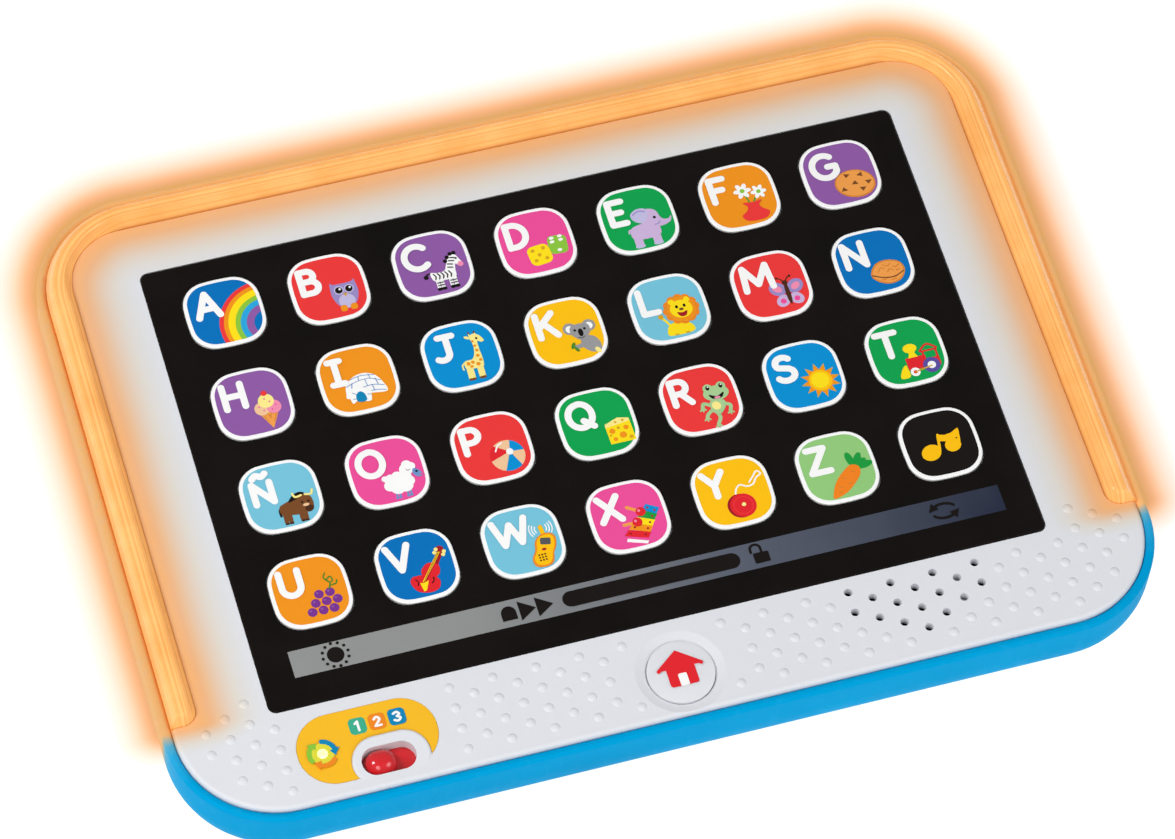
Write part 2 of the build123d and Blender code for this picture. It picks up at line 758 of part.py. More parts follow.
# ---- screws ----
def pan_screw(x, y, seat, head_radius, head_thick, shank_radius, shank_length):
    """A cross-headed screw that points up, with its head's face on the seat."""
    head_bottom = seat - head_thick
    with BuildPart() as screw:
        with BuildSketch(Plane.XY.offset(head_bottom)):
            with Locations((x, y)):
                Circle(head_radius)
        extrude(amount=head_thick)
        fillet(screw.faces().sort_by(Axis.Z)[0].edges(), head_thick * 0.45)
        with BuildSketch(Plane.XY.offset(head_bottom)):
            with Locations((x, y)):
                Rectangle(head_radius * 1.1, head_radius * 0.26)
                Rectangle(head_radius * 0.26, head_radius * 1.1)
        extrude(amount=head_thick * 0.55, mode=Mode.SUBTRACT)
        with BuildSketch(Plane.XY.offset(seat)):
            with Locations((x, y)):
                Circle(shank_radius)
        extrude(amount=shank_length)
        chamfer(screw.faces().sort_by(Axis.Z)[-1].edges(), shank_radius * 0.3)
    return screw.part


with BuildPart() as case_screws:
    for x, y in case_screw_places:
        add(pan_screw(x, y, counterbore_z, 3.0, 2.0, case_screw_radius, 10.5))
case_screws.part.label = "case_screws"
export_step(case_screws.part, "parts/case_screws.step")

with BuildPart() as board_screws:
    for x, y in board_screw_places:
        add(pan_screw(x, y, underside_z, 2.3, 1.4, board_screw_radius, 5.0))
    for x, y in ear_places:
        add(pan_screw(x, y, clamp_z, 2.3, 1.4, board_screw_radius, 5.0))
board_screws.part.label = "board_screws"
export_step(board_screws.part, "parts/board_screws.step")

with BuildPart() as battery_door_screw:
    add(pan_screw(door_screw_x, bay_y, 1.6, 2.7, 1.1, door_screw_radius, 8.0))
battery_door_screw.part.label = "battery_door_screw"
export_step(battery_door_screw.part, "parts/battery_door_screw.step")


# ---- battery door, cells, springs and contacts ----
with BuildPart() as battery_door:
    with BuildSketch(Plane.XY.offset(door_z)):
        with Locations((door_x, bay_y)):
            RectangleRounded(door_length, door_width, 3)
    extrude(amount=door_thick)
    chamfer(battery_door.faces().sort_by(Axis.Z)[0].edges(), 0.3)
    with BuildSketch(Plane.XY.offset(door_z + door_thick)):
        with Locations((0, bay_y)):
            with GridLocations(34, bay_width - 2.0, 2, 2):
                Rectangle(6, 1)
    extrude(amount=1.8)
    with BuildSketch():
        with Locations((door_screw_x, bay_y)):
            Circle(3.0)
    extrude(amount=1.6, mode=Mode.SUBTRACT)
    with BuildSketch():
        with Locations((door_screw_x, bay_y)):
            Circle(door_screw_radius + bore_clearance)
    extrude(amount=door_z + door_thick, mode=Mode.SUBTRACT)
    with BuildSketch():
        with Locations((-20, bay_y)):
            with GridLocations(3, 0, 4, 1):
                SlotOverall(22, 1.2, rotation=90)
    extrude(amount=door_z + 0.5, mode=Mode.SUBTRACT)
battery_door.part.label = "battery_door"
export_step(battery_door.part, "parts/battery_door.step")

contact_thick = 0.4
spring_length = bay_length - 2 * contact_thick - cell_length
contact_x = bay_length / 2 - contact_thick / 2
with BuildPart() as battery_cells:
    for lane in (-1, 0, 1):
        way = -1 if lane == 0 else 1
        foot_x = way * (bay_length / 2 - contact_thick)
        lane_y = bay_y + lane * cell_pitch
        with BuildSketch(Plane.YZ.offset(foot_x - way * cell_length)):
            with Locations((lane_y, cell_z)):
                Circle(cell_radius)
        extrude(amount=way * (cell_length - 1.0))
        with BuildSketch(Plane.YZ.offset(foot_x - way * 1.01)):
            with Locations((lane_y, cell_z)):
                Circle(1.9)
        extrude(amount=way * 1.01)
battery_cells.part.label = "battery_cells"
export_step(battery_cells.part, "parts/battery_cells.step")

with BuildPart() as battery_springs:
    for lane in (-1, 0, 1):
        way = -1 if lane == 0 else 1
        spring_x = -way * (bay_length / 2 - contact_thick)
        for turn in range(4):
            ring_x = spring_x + way * (0.4 + turn * (spring_length - 0.8) / 3)
            with Locations(Plane((ring_x, bay_y + lane * cell_pitch, cell_z), z_dir=(1, 0, 0))):
                Torus(3.6 - turn * 0.3, 0.4)
        with BuildSketch(Plane.YZ.offset(spring_x)):
            with Locations((bay_y + lane * cell_pitch, cell_z - 3.2)):
                Circle(0.4)
        extrude(amount=way * spring_length)
battery_springs.part.label = "battery_springs"
export_step(battery_springs.part, "parts/battery_springs.step")

with BuildPart() as battery_contacts:
    for side in (-1, 1):
        with BuildSketch(Plane.YZ.offset(side * (bay_length / 2 - contact_thick))):
            for lane in (-1, 0, 1):
                with Locations((bay_y + lane * cell_pitch, cell_z)):
                    RectangleRounded(9.6, 9.0, 1.0)
        extrude(amount=side * contact_thick)
    with BuildSketch(Plane.YZ.offset(-bay_length / 2 - 2.4)):
        with Locations((bay_y - cell_pitch, bay_roof - 0.9), (bay_y + cell_pitch, bay_roof - 0.9)):
            Rectangle(2.4, 0.4)
    extrude(amount=2.8)
    with BuildSketch(Plane.YZ.offset(-bay_length / 2)):
        with Locations((bay_y - cell_pitch, bay_roof - 1.2), (bay_y + cell_pitch, bay_roof - 1.2)):
            Rectangle(2.4, 1.0)
    extrude(amount=contact_thick)
battery_contacts.part.label = "battery_contacts"
export_step(battery_contacts.part, "parts/battery_contacts.step")


# ---- wires, each made of straight runs joined by tangent arcs ----
wire_radius = 0.5
socket_z = underside_z - 2.0
terminal_x = speaker_place[0] - terminal_reach
terminal_z = speaker_top - 4.95


def wire(points, radius):
    """A round wire along straight runs joined by arcs of one radius."""
    with BuildPart() as lead:
        with BuildLine() as route:
            FilletPolyline(*points, radius=radius)
        with BuildSketch(Plane(origin=route.line @ 0, z_dir=route.line % 0)):
            Circle(wire_radius)
        sweep()
    length = sum(edge.length for edge in route.edges())
    ideal = pi * wire_radius**2 * length
    print(f"wire: length {length:.1f}, volume over section x length {lead.part.volume / ideal:.4f}")
    return lead.part


with BuildPart() as battery_wires:
    for side in (-1, 1):
        tab_y = bay_y + side * cell_pitch
        pin_x = battery_socket[0] - side * 1.4
        tab_z = bay_roof - 0.9
        add(wire([
            (-bay_length / 2 - 2.4, tab_y, tab_z),
            (pin_x, tab_y, tab_z),
            (pin_x, battery_socket[1] + 3.0, socket_z),
        ], 3.0))
battery_wires.part.label = "battery_wires"
export_step(battery_wires.part, "parts/battery_wires.step")

with BuildPart() as speaker_wires:
    for side in (-1, 1):
        pin_y = speaker_socket[1] + side * 1.4
        tag_y = speaker_place[1] + side * 2.0
        add(wire([
            (speaker_socket[0] + 3.0, pin_y, socket_z),
            (speaker_socket[0] + 9.0, pin_y, socket_z),
            (terminal_x - 4.5, tag_y, terminal_z),
            (terminal_x, tag_y, terminal_z),
        ], 4.0))
speaker_wires.part.label = "speaker_wires"
export_step(speaker_wires.part, "parts/speaker_wires.step")
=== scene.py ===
from math import atan2, cos, degrees, hypot, radians, sin, sqrt

import bpy
from mathutils import Matrix, Vector
from mathutils.geometry import tessellate_polygon


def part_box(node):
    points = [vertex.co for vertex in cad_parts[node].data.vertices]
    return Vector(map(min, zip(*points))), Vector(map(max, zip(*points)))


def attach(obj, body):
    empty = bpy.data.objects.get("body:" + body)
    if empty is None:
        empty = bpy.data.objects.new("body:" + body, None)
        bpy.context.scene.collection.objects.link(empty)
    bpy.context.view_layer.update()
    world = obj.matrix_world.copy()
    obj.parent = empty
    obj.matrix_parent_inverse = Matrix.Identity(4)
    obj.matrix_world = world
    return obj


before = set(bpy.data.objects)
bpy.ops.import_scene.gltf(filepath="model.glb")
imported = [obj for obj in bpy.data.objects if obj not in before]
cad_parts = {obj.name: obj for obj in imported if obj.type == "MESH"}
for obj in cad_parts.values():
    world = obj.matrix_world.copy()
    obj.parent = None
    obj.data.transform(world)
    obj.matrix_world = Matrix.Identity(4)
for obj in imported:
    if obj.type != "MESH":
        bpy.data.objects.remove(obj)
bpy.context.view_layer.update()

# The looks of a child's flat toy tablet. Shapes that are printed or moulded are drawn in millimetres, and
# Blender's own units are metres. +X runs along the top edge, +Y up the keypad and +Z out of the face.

MM = 0.001
scene = bpy.context.scene

# ---- sizes shared with the frame, in millimetres ----
BEZEL_LENGTH = 246.0
BEZEL_WIDTH = 175.0
BEZEL_CORNER = 25.0
FACE_Z = 25.0
RIM_Z = 24.5
FRAME_WIDTH = 7.0
FRAME_FOOT = -59.3
KEY_WIDTH = 19.7
KEY_BOW = 0.8
KEY_CORNER = 6.6
PITCH_X = 27.0
HOME = (0.0, -76.0)
LAMP = (-89.7, -75.2)
PANEL_LENGTH = 198.0
LATTICE_MIDDLE = 0.7
LATTICE_X = 12.6
LATTICE_PITCH = 5.445
LATTICE_TOP = -65.7
LATTICE_STEP = 5.67


def centre(node):
    """The middle of a CAD node seen from above, and its top, in millimetres."""
    low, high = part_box(node)
    return (low[0] + high[0]) / 2 / MM, (low[1] + high[1]) / 2 / MM, high[2] / MM


# ---- materials ----
def rgb(code):
    """A colour written as rrggbb, as the linear colour that the shaders use."""
    parts = [int(code[i : i + 2], 16) / 255 for i in (0, 2, 4)]
    return tuple(p / 12.92 if p <= 0.04045 else ((p + 0.055) / 1.055) ** 2.4 for p in parts) + (1.0,)


class Look:
    """A material and short ways to build its nodes."""

    def __init__(self, name):
        self.material = bpy.data.materials.new(name)
        self.material.use_nodes = True
        self.tree = self.material.node_tree
        self.shader = self.tree.nodes["Principled BSDF"]

    def node(self, kind, **settings):
        made = self.tree.nodes.new("ShaderNode" + kind)
        for key, value in settings.items():
            setattr(made, key, value)
        return made

    def wire(self, source, target):
        self.tree.links.new(source, target)

    def feed(self, value, socket):
        """Wires a socket to another one, or sets it to a number or a colour, which can be written as rrggbb."""
        if isinstance(value, bpy.types.NodeSocket):
            self.wire(value, socket)
        else:
            socket.default_value = rgb(value) if isinstance(value, str) else value

    def put(self, name, value):
        """Feeds one of the shader's sockets."""
        self.feed(value, self.shader.inputs[name])

    def place(self):
        return self.node("TexCoord").outputs["Object"]

    def axes(self):
        """The X, Y and Z of a place, as sockets."""
        apart = self.node("SeparateXYZ")
        self.wire(self.place(), apart.inputs[0])
        return apart.outputs

    def noise(self, scale, detail=3.0, stretch=None):
        """Noise with about scale features to the metre."""
        found = self.node("TexNoise")
        found.inputs["Scale"].default_value = scale
        found.inputs["Detail"].default_value = detail
        where = self.place()
        if stretch:
            squeeze = self.node("Mapping")
            squeeze.inputs["Scale"].default_value = stretch
            self.wire(where, squeeze.inputs["Vector"])
            where = squeeze.outputs["Vector"]
        self.wire(where, found.inputs["Vector"])
        return found.outputs["Fac"]

    def spread(self, value, low, high, from_low=0.3, from_high=0.7):
        """A value between low and high as the input goes from from_low to from_high."""
        span = self.node("MapRange")
        ends = {"Value": value, "From Min": from_low, "From Max": from_high, "To Min": low, "To Max": high}
        for name, end in ends.items():
            self.feed(end, span.inputs[name])
        return span.outputs["Result"]

    def cloud(self, scale):
        """Soft patches between 0 and 1."""
        return self.spread(self.noise(scale), 0.0, 1.0)

    def gloss(self, scale, low, high, detail=3.0):
        """Roughness that drifts between low and high."""
        self.put("Roughness", self.spread(self.noise(scale, detail), low, high))

    def mix(self, factor, first, second):
        """A colour between two colours, each a colour or a socket."""
        blend = self.node("Mix", data_type="RGBA")
        for socket, value in zip((blend.inputs[0], blend.inputs[6], blend.inputs[7]), (factor, first, second)):
            self.feed(value, socket)
        return blend.outputs[2]

    def ramp(self, value, reach, stops):
        """A colour read off stops, each a distance and a colour, as the value goes from 0 to reach."""
        scale = self.node("ValToRGB")
        self.wire(self.sum("DIVIDE", value, reach), scale.inputs["Fac"])
        band = scale.color_ramp
        while len(band.elements) < len(stops):
            band.elements.new(1.0)
        for element, (distance, code) in zip(band.elements, stops):
            element.position = distance / reach
            element.color = rgb(code)
        return scale.outputs["Color"]

    def sum(self, operation, first, second=0.0):
        """One step of arithmetic on numbers or sockets."""
        step = self.node("Math", operation=operation)
        for socket, value in zip(step.inputs, (first, second)):
            self.feed(value, socket)
        return step.outputs[0]

    def far(self, across, along):
        """The length of a step that goes across and along."""
        squares = [self.sum("POWER", side, 2.0) for side in (across, along)]
        return self.sum("SQRT", self.sum("ADD", *squares))

    def bump(self, height, depth):
        """A bump of that depth in millimetres."""
        relief = self.node("Bump")
        relief.inputs["Distance"].default_value = depth * MM
        relief.inputs["Strength"].default_value = 1.0
        self.wire(height, relief.inputs["Height"])
        self.wire(relief.outputs["Normal"], self.shader.inputs["Normal"])


def plastic(name, code, roughness, grain=0.004, shade=0.93, coat=0.0, specular=0.5, soft=0.0):
    """Moulded plastic: uneven colour, cloudy gloss and a fine moulded grain."""
    look = Look(name)
    colour = rgb(code)
    dark = tuple(c * shade for c in colour[:3]) + (1.0,)
    look.put("Base Color", look.mix(look.cloud(35.0), dark, colour))
    look.gloss(240.0, roughness * 0.85, roughness * 1.15, 5.0)
    look.put("Specular IOR Level", specular)
    look.put("Coat Weight", coat)
    look.put("Coat Roughness", 0.12)
    if soft:
        look.put("Subsurface Weight", soft)
        look.put("Subsurface Radius", (0.004, 0.004, 0.004))
        look.put("Subsurface Scale", 1.0)
    if grain:
        look.bump(look.noise(2600.0, 2.0), grain)
    return look.material


def metal(name, code, roughness=0.3):
    """Plated steel with fine scratches."""
    look = Look(name)
    colour = rgb(code)
    dark = tuple(c * 0.7 for c in colour[:3]) + (1.0,)
    look.put("Base Color", look.mix(look.cloud(90.0), dark, colour))
    scratches = look.noise(1500.0, 4.0, stretch=(1.0, 0.06, 1.0))
    look.put("Roughness", look.spread(scratches, roughness * 0.7, roughness * 1.4))
    look.bump(scratches, 0.004)
    look.put("Metallic", 1.0)
    return look.material


def away_from_frame(look, scale=1.0, shift=(0.0, 0.0), fade=2.0, filled=False):
    """Distance in millimetres from a place, scaled and moved, to the U-shaped light frame.

    Below the frame's feet the distance grows fade times as fast. Filled, it is 0 inside the U as well.
    Also gives how far out of the bezel's edge the place is, in millimetres, and its height in metres.
    """
    axes = look.axes()
    x = look.sum("ADD", look.sum("MULTIPLY", axes["X"], scale / MM), shift[0])
    y = look.sum("ADD", look.sum("MULTIPLY", axes["Y"], scale / MM), shift[1])
    across = look.sum("SUBTRACT", look.sum("ABSOLUTE", x), BEZEL_LENGTH / 2 - BEZEL_CORNER)
    along = look.sum("SUBTRACT", y, BEZEL_WIDTH / 2 - BEZEL_CORNER)
    corner = look.far(look.sum("MAXIMUM", across, 0.0), look.sum("MAXIMUM", along, 0.0))
    inner = look.sum("MINIMUM", look.sum("MAXIMUM", across, along), 0.0)
    edge = look.sum("SUBTRACT", look.sum("ADD", corner, inner), BEZEL_CORNER)
    middle = look.sum("ABSOLUTE", look.sum("ADD", edge, FRAME_WIDTH / 2))
    outward = edge if filled else look.sum("SUBTRACT", middle, FRAME_WIDTH / 2)
    sideways = look.sum("MAXIMUM", outward, 0.0)
    below = look.sum("MAXIMUM", look.sum("SUBTRACT", FRAME_FOOT, y), 0.0)
    return look.far(sideways, look.sum("MULTIPLY", below, fade)), edge, axes["Z"]


# ---- geometry helpers ----
def new_piece(name, vertices, faces, materials, which=None, smooth=False):
    """A mesh object from points in millimetres."""
    mesh = bpy.data.meshes.new(name)
    mesh.from_pydata([Vector(v) * MM for v in vertices], [], faces)
    for material in materials:
        mesh.materials.append(material)
    if which:
        mesh.polygons.foreach_set("material_index", which)
    if smooth:
        mesh.polygons.foreach_set("use_smooth", [True] * len(faces))
    mesh.update()
    piece = bpy.data.objects.new(name, mesh)
    scene.collection.objects.link(piece)
    return piece


def arc(x, y, rx, ry, start, end, steps):
    """Points along part of an ellipse, angles in degrees."""
    turns = [radians(start + (end - start) * i / steps) for i in range(steps + 1)]
    return [(x + rx * cos(t), y + ry * sin(t)) for t in turns]


def turned(points, x, y, turn):
    """Points turned by so many degrees about 0, 0 and moved to x, y."""
    c, s = cos(radians(turn)), sin(radians(turn))
    return [(x + px * c - py * s, y + px * s + py * c) for px, py in points]


def flowing(points, closed=False):
    """A smooth curve through the points."""
    count, steps = len(points), 6
    made = []
    for i in range(count if closed else count - 1):
        if closed:
            near = [points[(i + k) % count] for k in (-1, 0, 1, 2)]
        else:
            near = [points[min(max(i + k, 0), count - 1)] for k in (-1, 0, 1, 2)]
        before, start, end, after = (Vector(p) for p in near)
        for step in range(steps):
            t = step / steps
            bend = (2 * before - 5 * start + 4 * end - after) * t * t
            twist = (3 * start - before - 3 * end + after) * t * t * t
            made.append(tuple((2 * start + (end - before) * t + bend + twist) / 2))
    if not closed:
        made.append(tuple(points[-1]))
    return made


def squircle(inset):
    """A key's outline, moved in from its edge: bowed sides joined by round corners."""
    half = KEY_WIDTH / 2
    nook = half - KEY_BOW
    side = (nook * nook + KEY_BOW * KEY_BOW) / (2 * KEY_BOW)
    reach = side - half
    heart = (sqrt(2 * (side - KEY_CORNER) ** 2 - reach * reach) - reach) / 2
    lean = degrees(atan2(heart, reach + heart))
    quarter = arc(heart, heart, KEY_CORNER - inset, KEY_CORNER - inset, lean, 90 - lean, 10)
    quarter += arc(0, -reach, side - inset, side - inset, 90 - lean, 90 + lean, 10)[1:-1]
    return [point for turn in (0, 90, 180, 270) for point in turned(quarter, 0, 0, turn)]


def clipped(points, fence):
    """The part of a convex outline that lies inside another convex outline."""
    for i in range(len(fence)):
        ax, ay = fence[i - 1]
        bx, by = fence[i]
        kept = []
        for j in range(len(points)):
            px, py = points[j - 1]
            qx, qy = points[j]
            p_in = (bx - ax) * (py - ay) - (by - ay) * (px - ax)
            q_in = (bx - ax) * (qy - ay) - (by - ay) * (qx - ax)
            if p_in * q_in < 0:
                t = p_in / (p_in - q_in)
                kept.append((px + (qx - px) * t, py + (qy - py) * t))
            if q_in >= 0:
                kept.append((qx, qy))
        points = kept
    return points


class Print:
    """Flat printed shapes in thin layers, gathered into one mesh."""

    LAYER = 0.005

    def __init__(self, name, x, y, z):
        self.name = name
        self.at = (x, y)
        self.z = z + 0.02
        self.vertices = []
        self.faces = []
        self.which = []
        self.inks = []

    def add(self, points, faces, ink):
        if ink not in self.inks:
            self.inks.append(ink)
        first = len(self.vertices)
        self.vertices += [(self.at[0] + x, self.at[1] + y, self.z) for x, y in points]
        self.faces += [tuple(first + i for i in face) for face in faces]
        self.which += [self.inks.index(ink)] * len(faces)
        self.z += self.LAYER

    def shape(self, points, ink):
        """A filled outline."""
        flat = [Vector((x, y, 0)) for x, y in points]
        triangles = []
        for a, b, c in tessellate_polygon([flat]):
            across = (flat[b] - flat[a]).cross(flat[c] - flat[a]).z
            triangles.append((a, b, c) if across > 0 else (a, c, b))
        self.add(points, triangles, ink)

    def blob(self, points, ink):
        """A filled outline that flows smoothly through the points."""
        self.shape(flowing(points, closed=True), ink)

    def disc(self, x, y, radius, ink):
        self.oval(x, y, radius, radius, ink)

    def dots(self, spots, ink, radius=None):
        """Discs at x, y, with a radius after each place or one radius for all."""
        for x, y, *own in spots:
            self.disc(x, y, own[0] if own else radius, ink)

    def oval(self, x, y, rx, ry, ink, turn=0.0):
        self.shape(turned(arc(0, 0, rx, ry, 0, 345, 23), x, y, turn), ink)

    def box(self, x, y, width, height, ink, corner=0.3, turn=0.0):
        """A rounded rectangle."""
        w, h = width / 2 - corner, height / 2 - corner
        spots = ((w, h, 0), (-w, h, 90), (-w, -h, 180), (w, -h, 270))
        outline = [p for cx, cy, a in spots for p in arc(cx, cy, corner, corner, a, a + 90, 5)]
        self.shape(turned(outline, x, y, turn), ink)

    def ribbon(self, points, width, ink):
        """A band along a smooth line, with round ends."""
        edge = []
        for i, (x, y) in enumerate(points):
            ax, ay = points[max(i - 1, 0)]
            bx, by = points[min(i + 1, len(points) - 1)]
            length = hypot(bx - ax, by - ay) or 1.0
            nx, ny = (ay - by) / length * width / 2, (bx - ax) / length * width / 2
            edge += [(x - nx, y - ny), (x + nx, y + ny)]
        faces = [(2 * i, 2 * i + 2, 2 * i + 3, 2 * i + 1) for i in range(len(points) - 1)]
        self.add(edge, faces, ink)
        for x, y in (points[0], points[-1]):
            self.disc(x, y, width / 2, ink)

    def curve(self, points, width, ink):
        self.ribbon(flowing(points), width, ink)

    def line(self, points, width, ink):
        """Straight strokes with round ends and joins."""
        for (ax, ay), (bx, by) in zip(points, points[1:]):
            lean = degrees(atan2(by - ay, bx - ax))
            ends = arc(bx, by, width / 2, width / 2, lean - 90, lean + 90, 8)
            ends += arc(ax, ay, width / 2, width / 2, lean + 90, lean + 270, 8)
            self.shape(ends, ink)

    def curves(self, routes, width, ink):
        for route in routes:
            self.curve(route, width, ink)

    def lines(self, routes, width, ink):
        for route in routes:
            self.line(route, width, ink)

    def finish(self, body):
        piece = new_piece(self.name, self.vertices, self.faces, [ink_look(i) for i in self.inks], self.which)
        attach(piece, body)


# ---- inks ----
INKS = {
    "white": "fbfbfa", "black": "16110f", "blue": "0071bc", "red": "ee3a3a", "purple": "8f5ba5",
    "pink": "ee4f9b", "green": "0aa34f", "orange": "f3951c", "sky": "0090d4", "yellow": "ffc20e",
    "light_blue": "76c4dc", "light_green": "93cb7c", "lemon": "ffe11a", "scarlet": "e3262f",
    "brown": "7a4a26", "dark_brown": "4a2a18", "tan": "f3c79a", "cookie": "f2a04e", "crust": "d98532",
    "lilac": "cdb4dc", "owl": "9b8cc6", "owl_belly": "c3bde2", "grey": "9a9a9c", "dark_grey": "55565a",
    "pale_yellow": "fdec8e", "leaf": "1d9a3f", "frog": "a9cf95", "grape": "7a3591",
    "maroon": "a31c24", "cyan": "2ba6dd", "indigo": "5b4fa0", "rose": "f48fb1", "steel_blue": "6f93c8",
    "lime": "8cc63f", "gold": "d9a521", "teal": "3fae8c", "mid_orange": "f08a24", "deep_blue": "0b86b8",
    "carrot": "f58420", "vine": "4c8a2c", "lit": "e2dc40",
}
ink_looks = {}


def ink_look(name):
    """Printed ink: nearly flat colour with a faint cloudiness and a satin gloss."""
    if name not in ink_looks:
        ink_looks[name] = plastic("ink_" + name, INKS[name], roughness=0.38, shade=0.96, specular=0.15)
    return ink_looks[name]


# ---- letters: round strokes on a box 6.6 mm high whose lower left corner is at 0, 0 ----
O_STROKES = [arc(3.0, 3.3, 3.0, 3.4, 90, 450, 40)]
LETTERS = {
    "a": [[(0, 0), (2.7, 6.6), (5.4, 0)], [(1.0, 2.2), (4.4, 2.2)]],
    "b": [
        [(0, 0), (0, 6.6)],
        [(0, 6.6), *arc(1.9, 5.05, 1.6, 1.55, 90, -90, 12), (0, 3.5)],
        [(0, 3.5), *arc(2.3, 1.75, 1.8, 1.75, 90, -90, 12), (0, 0)],
    ],
    "c": [arc(3.2, 3.3, 3.2, 3.4, 48, 312, 30)],
    "d": [[(0, 0), (0, 6.6), *arc(1.4, 3.3, 3.2, 3.3, 90, -90, 20), (0, 0)]],
    "e": [[(3.6, 6.6), (0, 6.6), (0, 0), (3.6, 0)], [(0, 3.4), (2.9, 3.4)]],
    "f": [[(3.6, 6.6), (0, 6.6), (0, 0)], [(0, 3.4), (2.8, 3.4)]],
    "g": [arc(3.2, 3.3, 3.2, 3.4, 52, 330, 30), [(5.95, 1.7), (5.95, 3.1), (3.9, 3.1)]],
    "h": [[(0, 0), (0, 6.6)], [(4.7, 0), (4.7, 6.6)], [(0, 3.4), (4.7, 3.4)]],
    "i": [[(0.2, 6.6), (3.2, 6.6)], [(1.7, 6.6), (1.7, 0)], [(0.2, 0), (3.2, 0)]],
    "j": [[(1.7, 6.6), (5.3, 6.6)], [(3.6, 6.6), *arc(1.7, 1.8, 1.9, 1.8, 0, -130, 14)]],
    "k": [[(0, 0), (0, 6.6)], [(4.2, 6.6), (0.2, 2.9)], [(1.6, 4.0), (4.5, 0)]],
    "l": [[(0, 6.6), (0, 0), (3.7, 0)]],
    "m": [[(0, 0), (0.5, 6.6), (3.5, 1.4), (6.5, 6.6), (7.0, 0)]],
    "n": [[(0, 0), (0, 6.6), (4.8, 0), (4.8, 6.6)]],
    "enye": [
        [(0.1, -0.7), (0.1, 5.0), (4.6, -0.7), (4.6, 5.0)],
        flowing([(0.7, 6.6), (1.7, 7.4), (3.0, 6.8), (4.1, 7.5)]),
    ],
    "o": O_STROKES,
    "p": [[(0, 0), (0, 6.6), *arc(1.9, 4.7, 2.0, 1.9, 90, -90, 14), (0, 2.8)]],
    "q": O_STROKES + [[(3.5, 1.7), (5.7, -0.3)]],
    "r": [[(0, 0), (0, 6.6), *arc(1.9, 4.8, 1.8, 1.8, 90, -90, 14), (0, 3.0)], [(2.0, 3.0), (4.2, 0)]],
    "s": [[*arc(2.4, 4.95, 2.0, 1.75, 40, 215, 14), *arc(2.2, 1.7, 2.3, 1.8, 60, -150, 18)]],
    "t": [[(0, 6.6), (5.0, 6.6)], [(2.5, 6.6), (2.5, 0)]],
    "u": [[(0, 6.6), *arc(2.35, 2.4, 2.35, 2.4, 180, 360, 16), (4.7, 6.6)]],
    "v": [[(0, 6.6), (2.7, 0), (5.4, 6.6)]],
    "w": [[(0, 6.6), (2.0, 0), (4.2, 5.4), (6.3, 0), (8.2, 6.6)]],
    "x": [[(0, 6.6), (4.9, 0)], [(4.9, 6.6), (0, 0)]],
    "y": [[(0, 6.6), (2.5, 3.1), (5.0, 6.6)], [(2.5, 3.1), (2.5, 0)]],
    "z": [[(0.2, 6.6), (4.6, 6.6), (0, 0), (4.8, 0)]],
}
LETTER_CORNER = (-6.55, -0.4)
LETTER_STROKE = 1.75


def letter(art, name):
    """A white capital in the key's upper left corner."""
    x0, y0 = LETTER_CORNER
    for stroke in LETTERS[name]:
        placed = [(x0 + x, y0 + y) for x, y in stroke]
        art.line(placed, LETTER_STROKE, "white")


# ---- pictures, in millimetres from the middle of the key ----
def rainbow(art):
    fence = squircle(1)
    for radius, ink in ((12.4, "red"), (11.3, "orange"), (10.2, "lemon"), (8.4, "lime"), (7.1, "cyan"),
                        (5.6, "purple"), (3.7, "blue")):
        art.shape(clipped(arc(10, -5.6, radius, radius, 0, 354, 59), fence), ink)


def owl(art):
    art.blob([(0.4, 1.2), (1.3, 0.7), (5.6, 0.7), (6.6, 1.2), (6.9, -2.6), (5.6, -5.6), (3.4, -6.2), (1.3, -5.6),
              (0.1, -2.6)], "owl")
    art.oval(3.5, -4.6, 2.1, 2.1, "owl_belly")
    for x in (2.2, 4.8):
        art.disc(x, -1.2, 1.25, "owl_belly")
        art.disc(x, -1.2, 0.95, "black")
        art.disc(x + 0.3, -0.9, 0.3, "white")
        art.blob([(x - 0.8, -6), (x, -5.6), (x + 0.8, -6), (x + 0.7, -7.3), (x - 0.7, -7.3)], "orange")
    art.shape([(2.9, -2.3), (4.1, -2.3), (3.5, -3.3)], "gold")


def zebra(art):
    art.curve([(-1, -2.4), (-2, -2.4), (-2.6, -3)], 0.5, "black")
    art.disc(-2.6, -3.2, 0.65, "black")
    for x in (-0.1, 1, 3.3, 4.4):
        art.line([(x, -4.2), (x, -7)], 0.95, "white")
        art.line([(x - 0.15, -7.3), (x + 0.3, -7.3)], 0.9, "black")
    art.blob([(-1.2, -2.2), (0.4, -2.5), (2.4, -2.3), (3.4, -0.4), (4.6, 1.6), (6, 1.8), (6.9, 0.2), (7.4, -1.1),
              (6.6, -1.9), (5.6, -1), (5.2, -2.6), (4.8, -4.6), (2, -5), (-0.6, -4.8), (-1.3, -3.6)], "white")
    art.disc(6.9, -1.3, 0.75, "rose")
    art.dots([(3.3, 0.3), (4, 1.3), (5, 2.1), (6, 2.2)], "black", 0.55)
    for x in (-0.6, 0.4, 1.4, 2.4, 3.4):
        art.line([(x, -2.7), (x + 0.5, -3.6), (x + 0.2, -4.4)], 0.32, "black")
    for x, y in ((4, -1.9), (4.2, -1), (4.7, -0.1), (5.2, 0.7)):
        art.line([(x - 0.5, y + 0.3), (x + 0.7, y)], 0.32, "black")
    for x in (0.4, 3.8):
        for y in (-5.5, -6.3):
            art.line([(x - 0.7, y), (x + 0.9, y)], 0.28, "black")
    art.disc(6.1, 0.5, 0.28, "black")


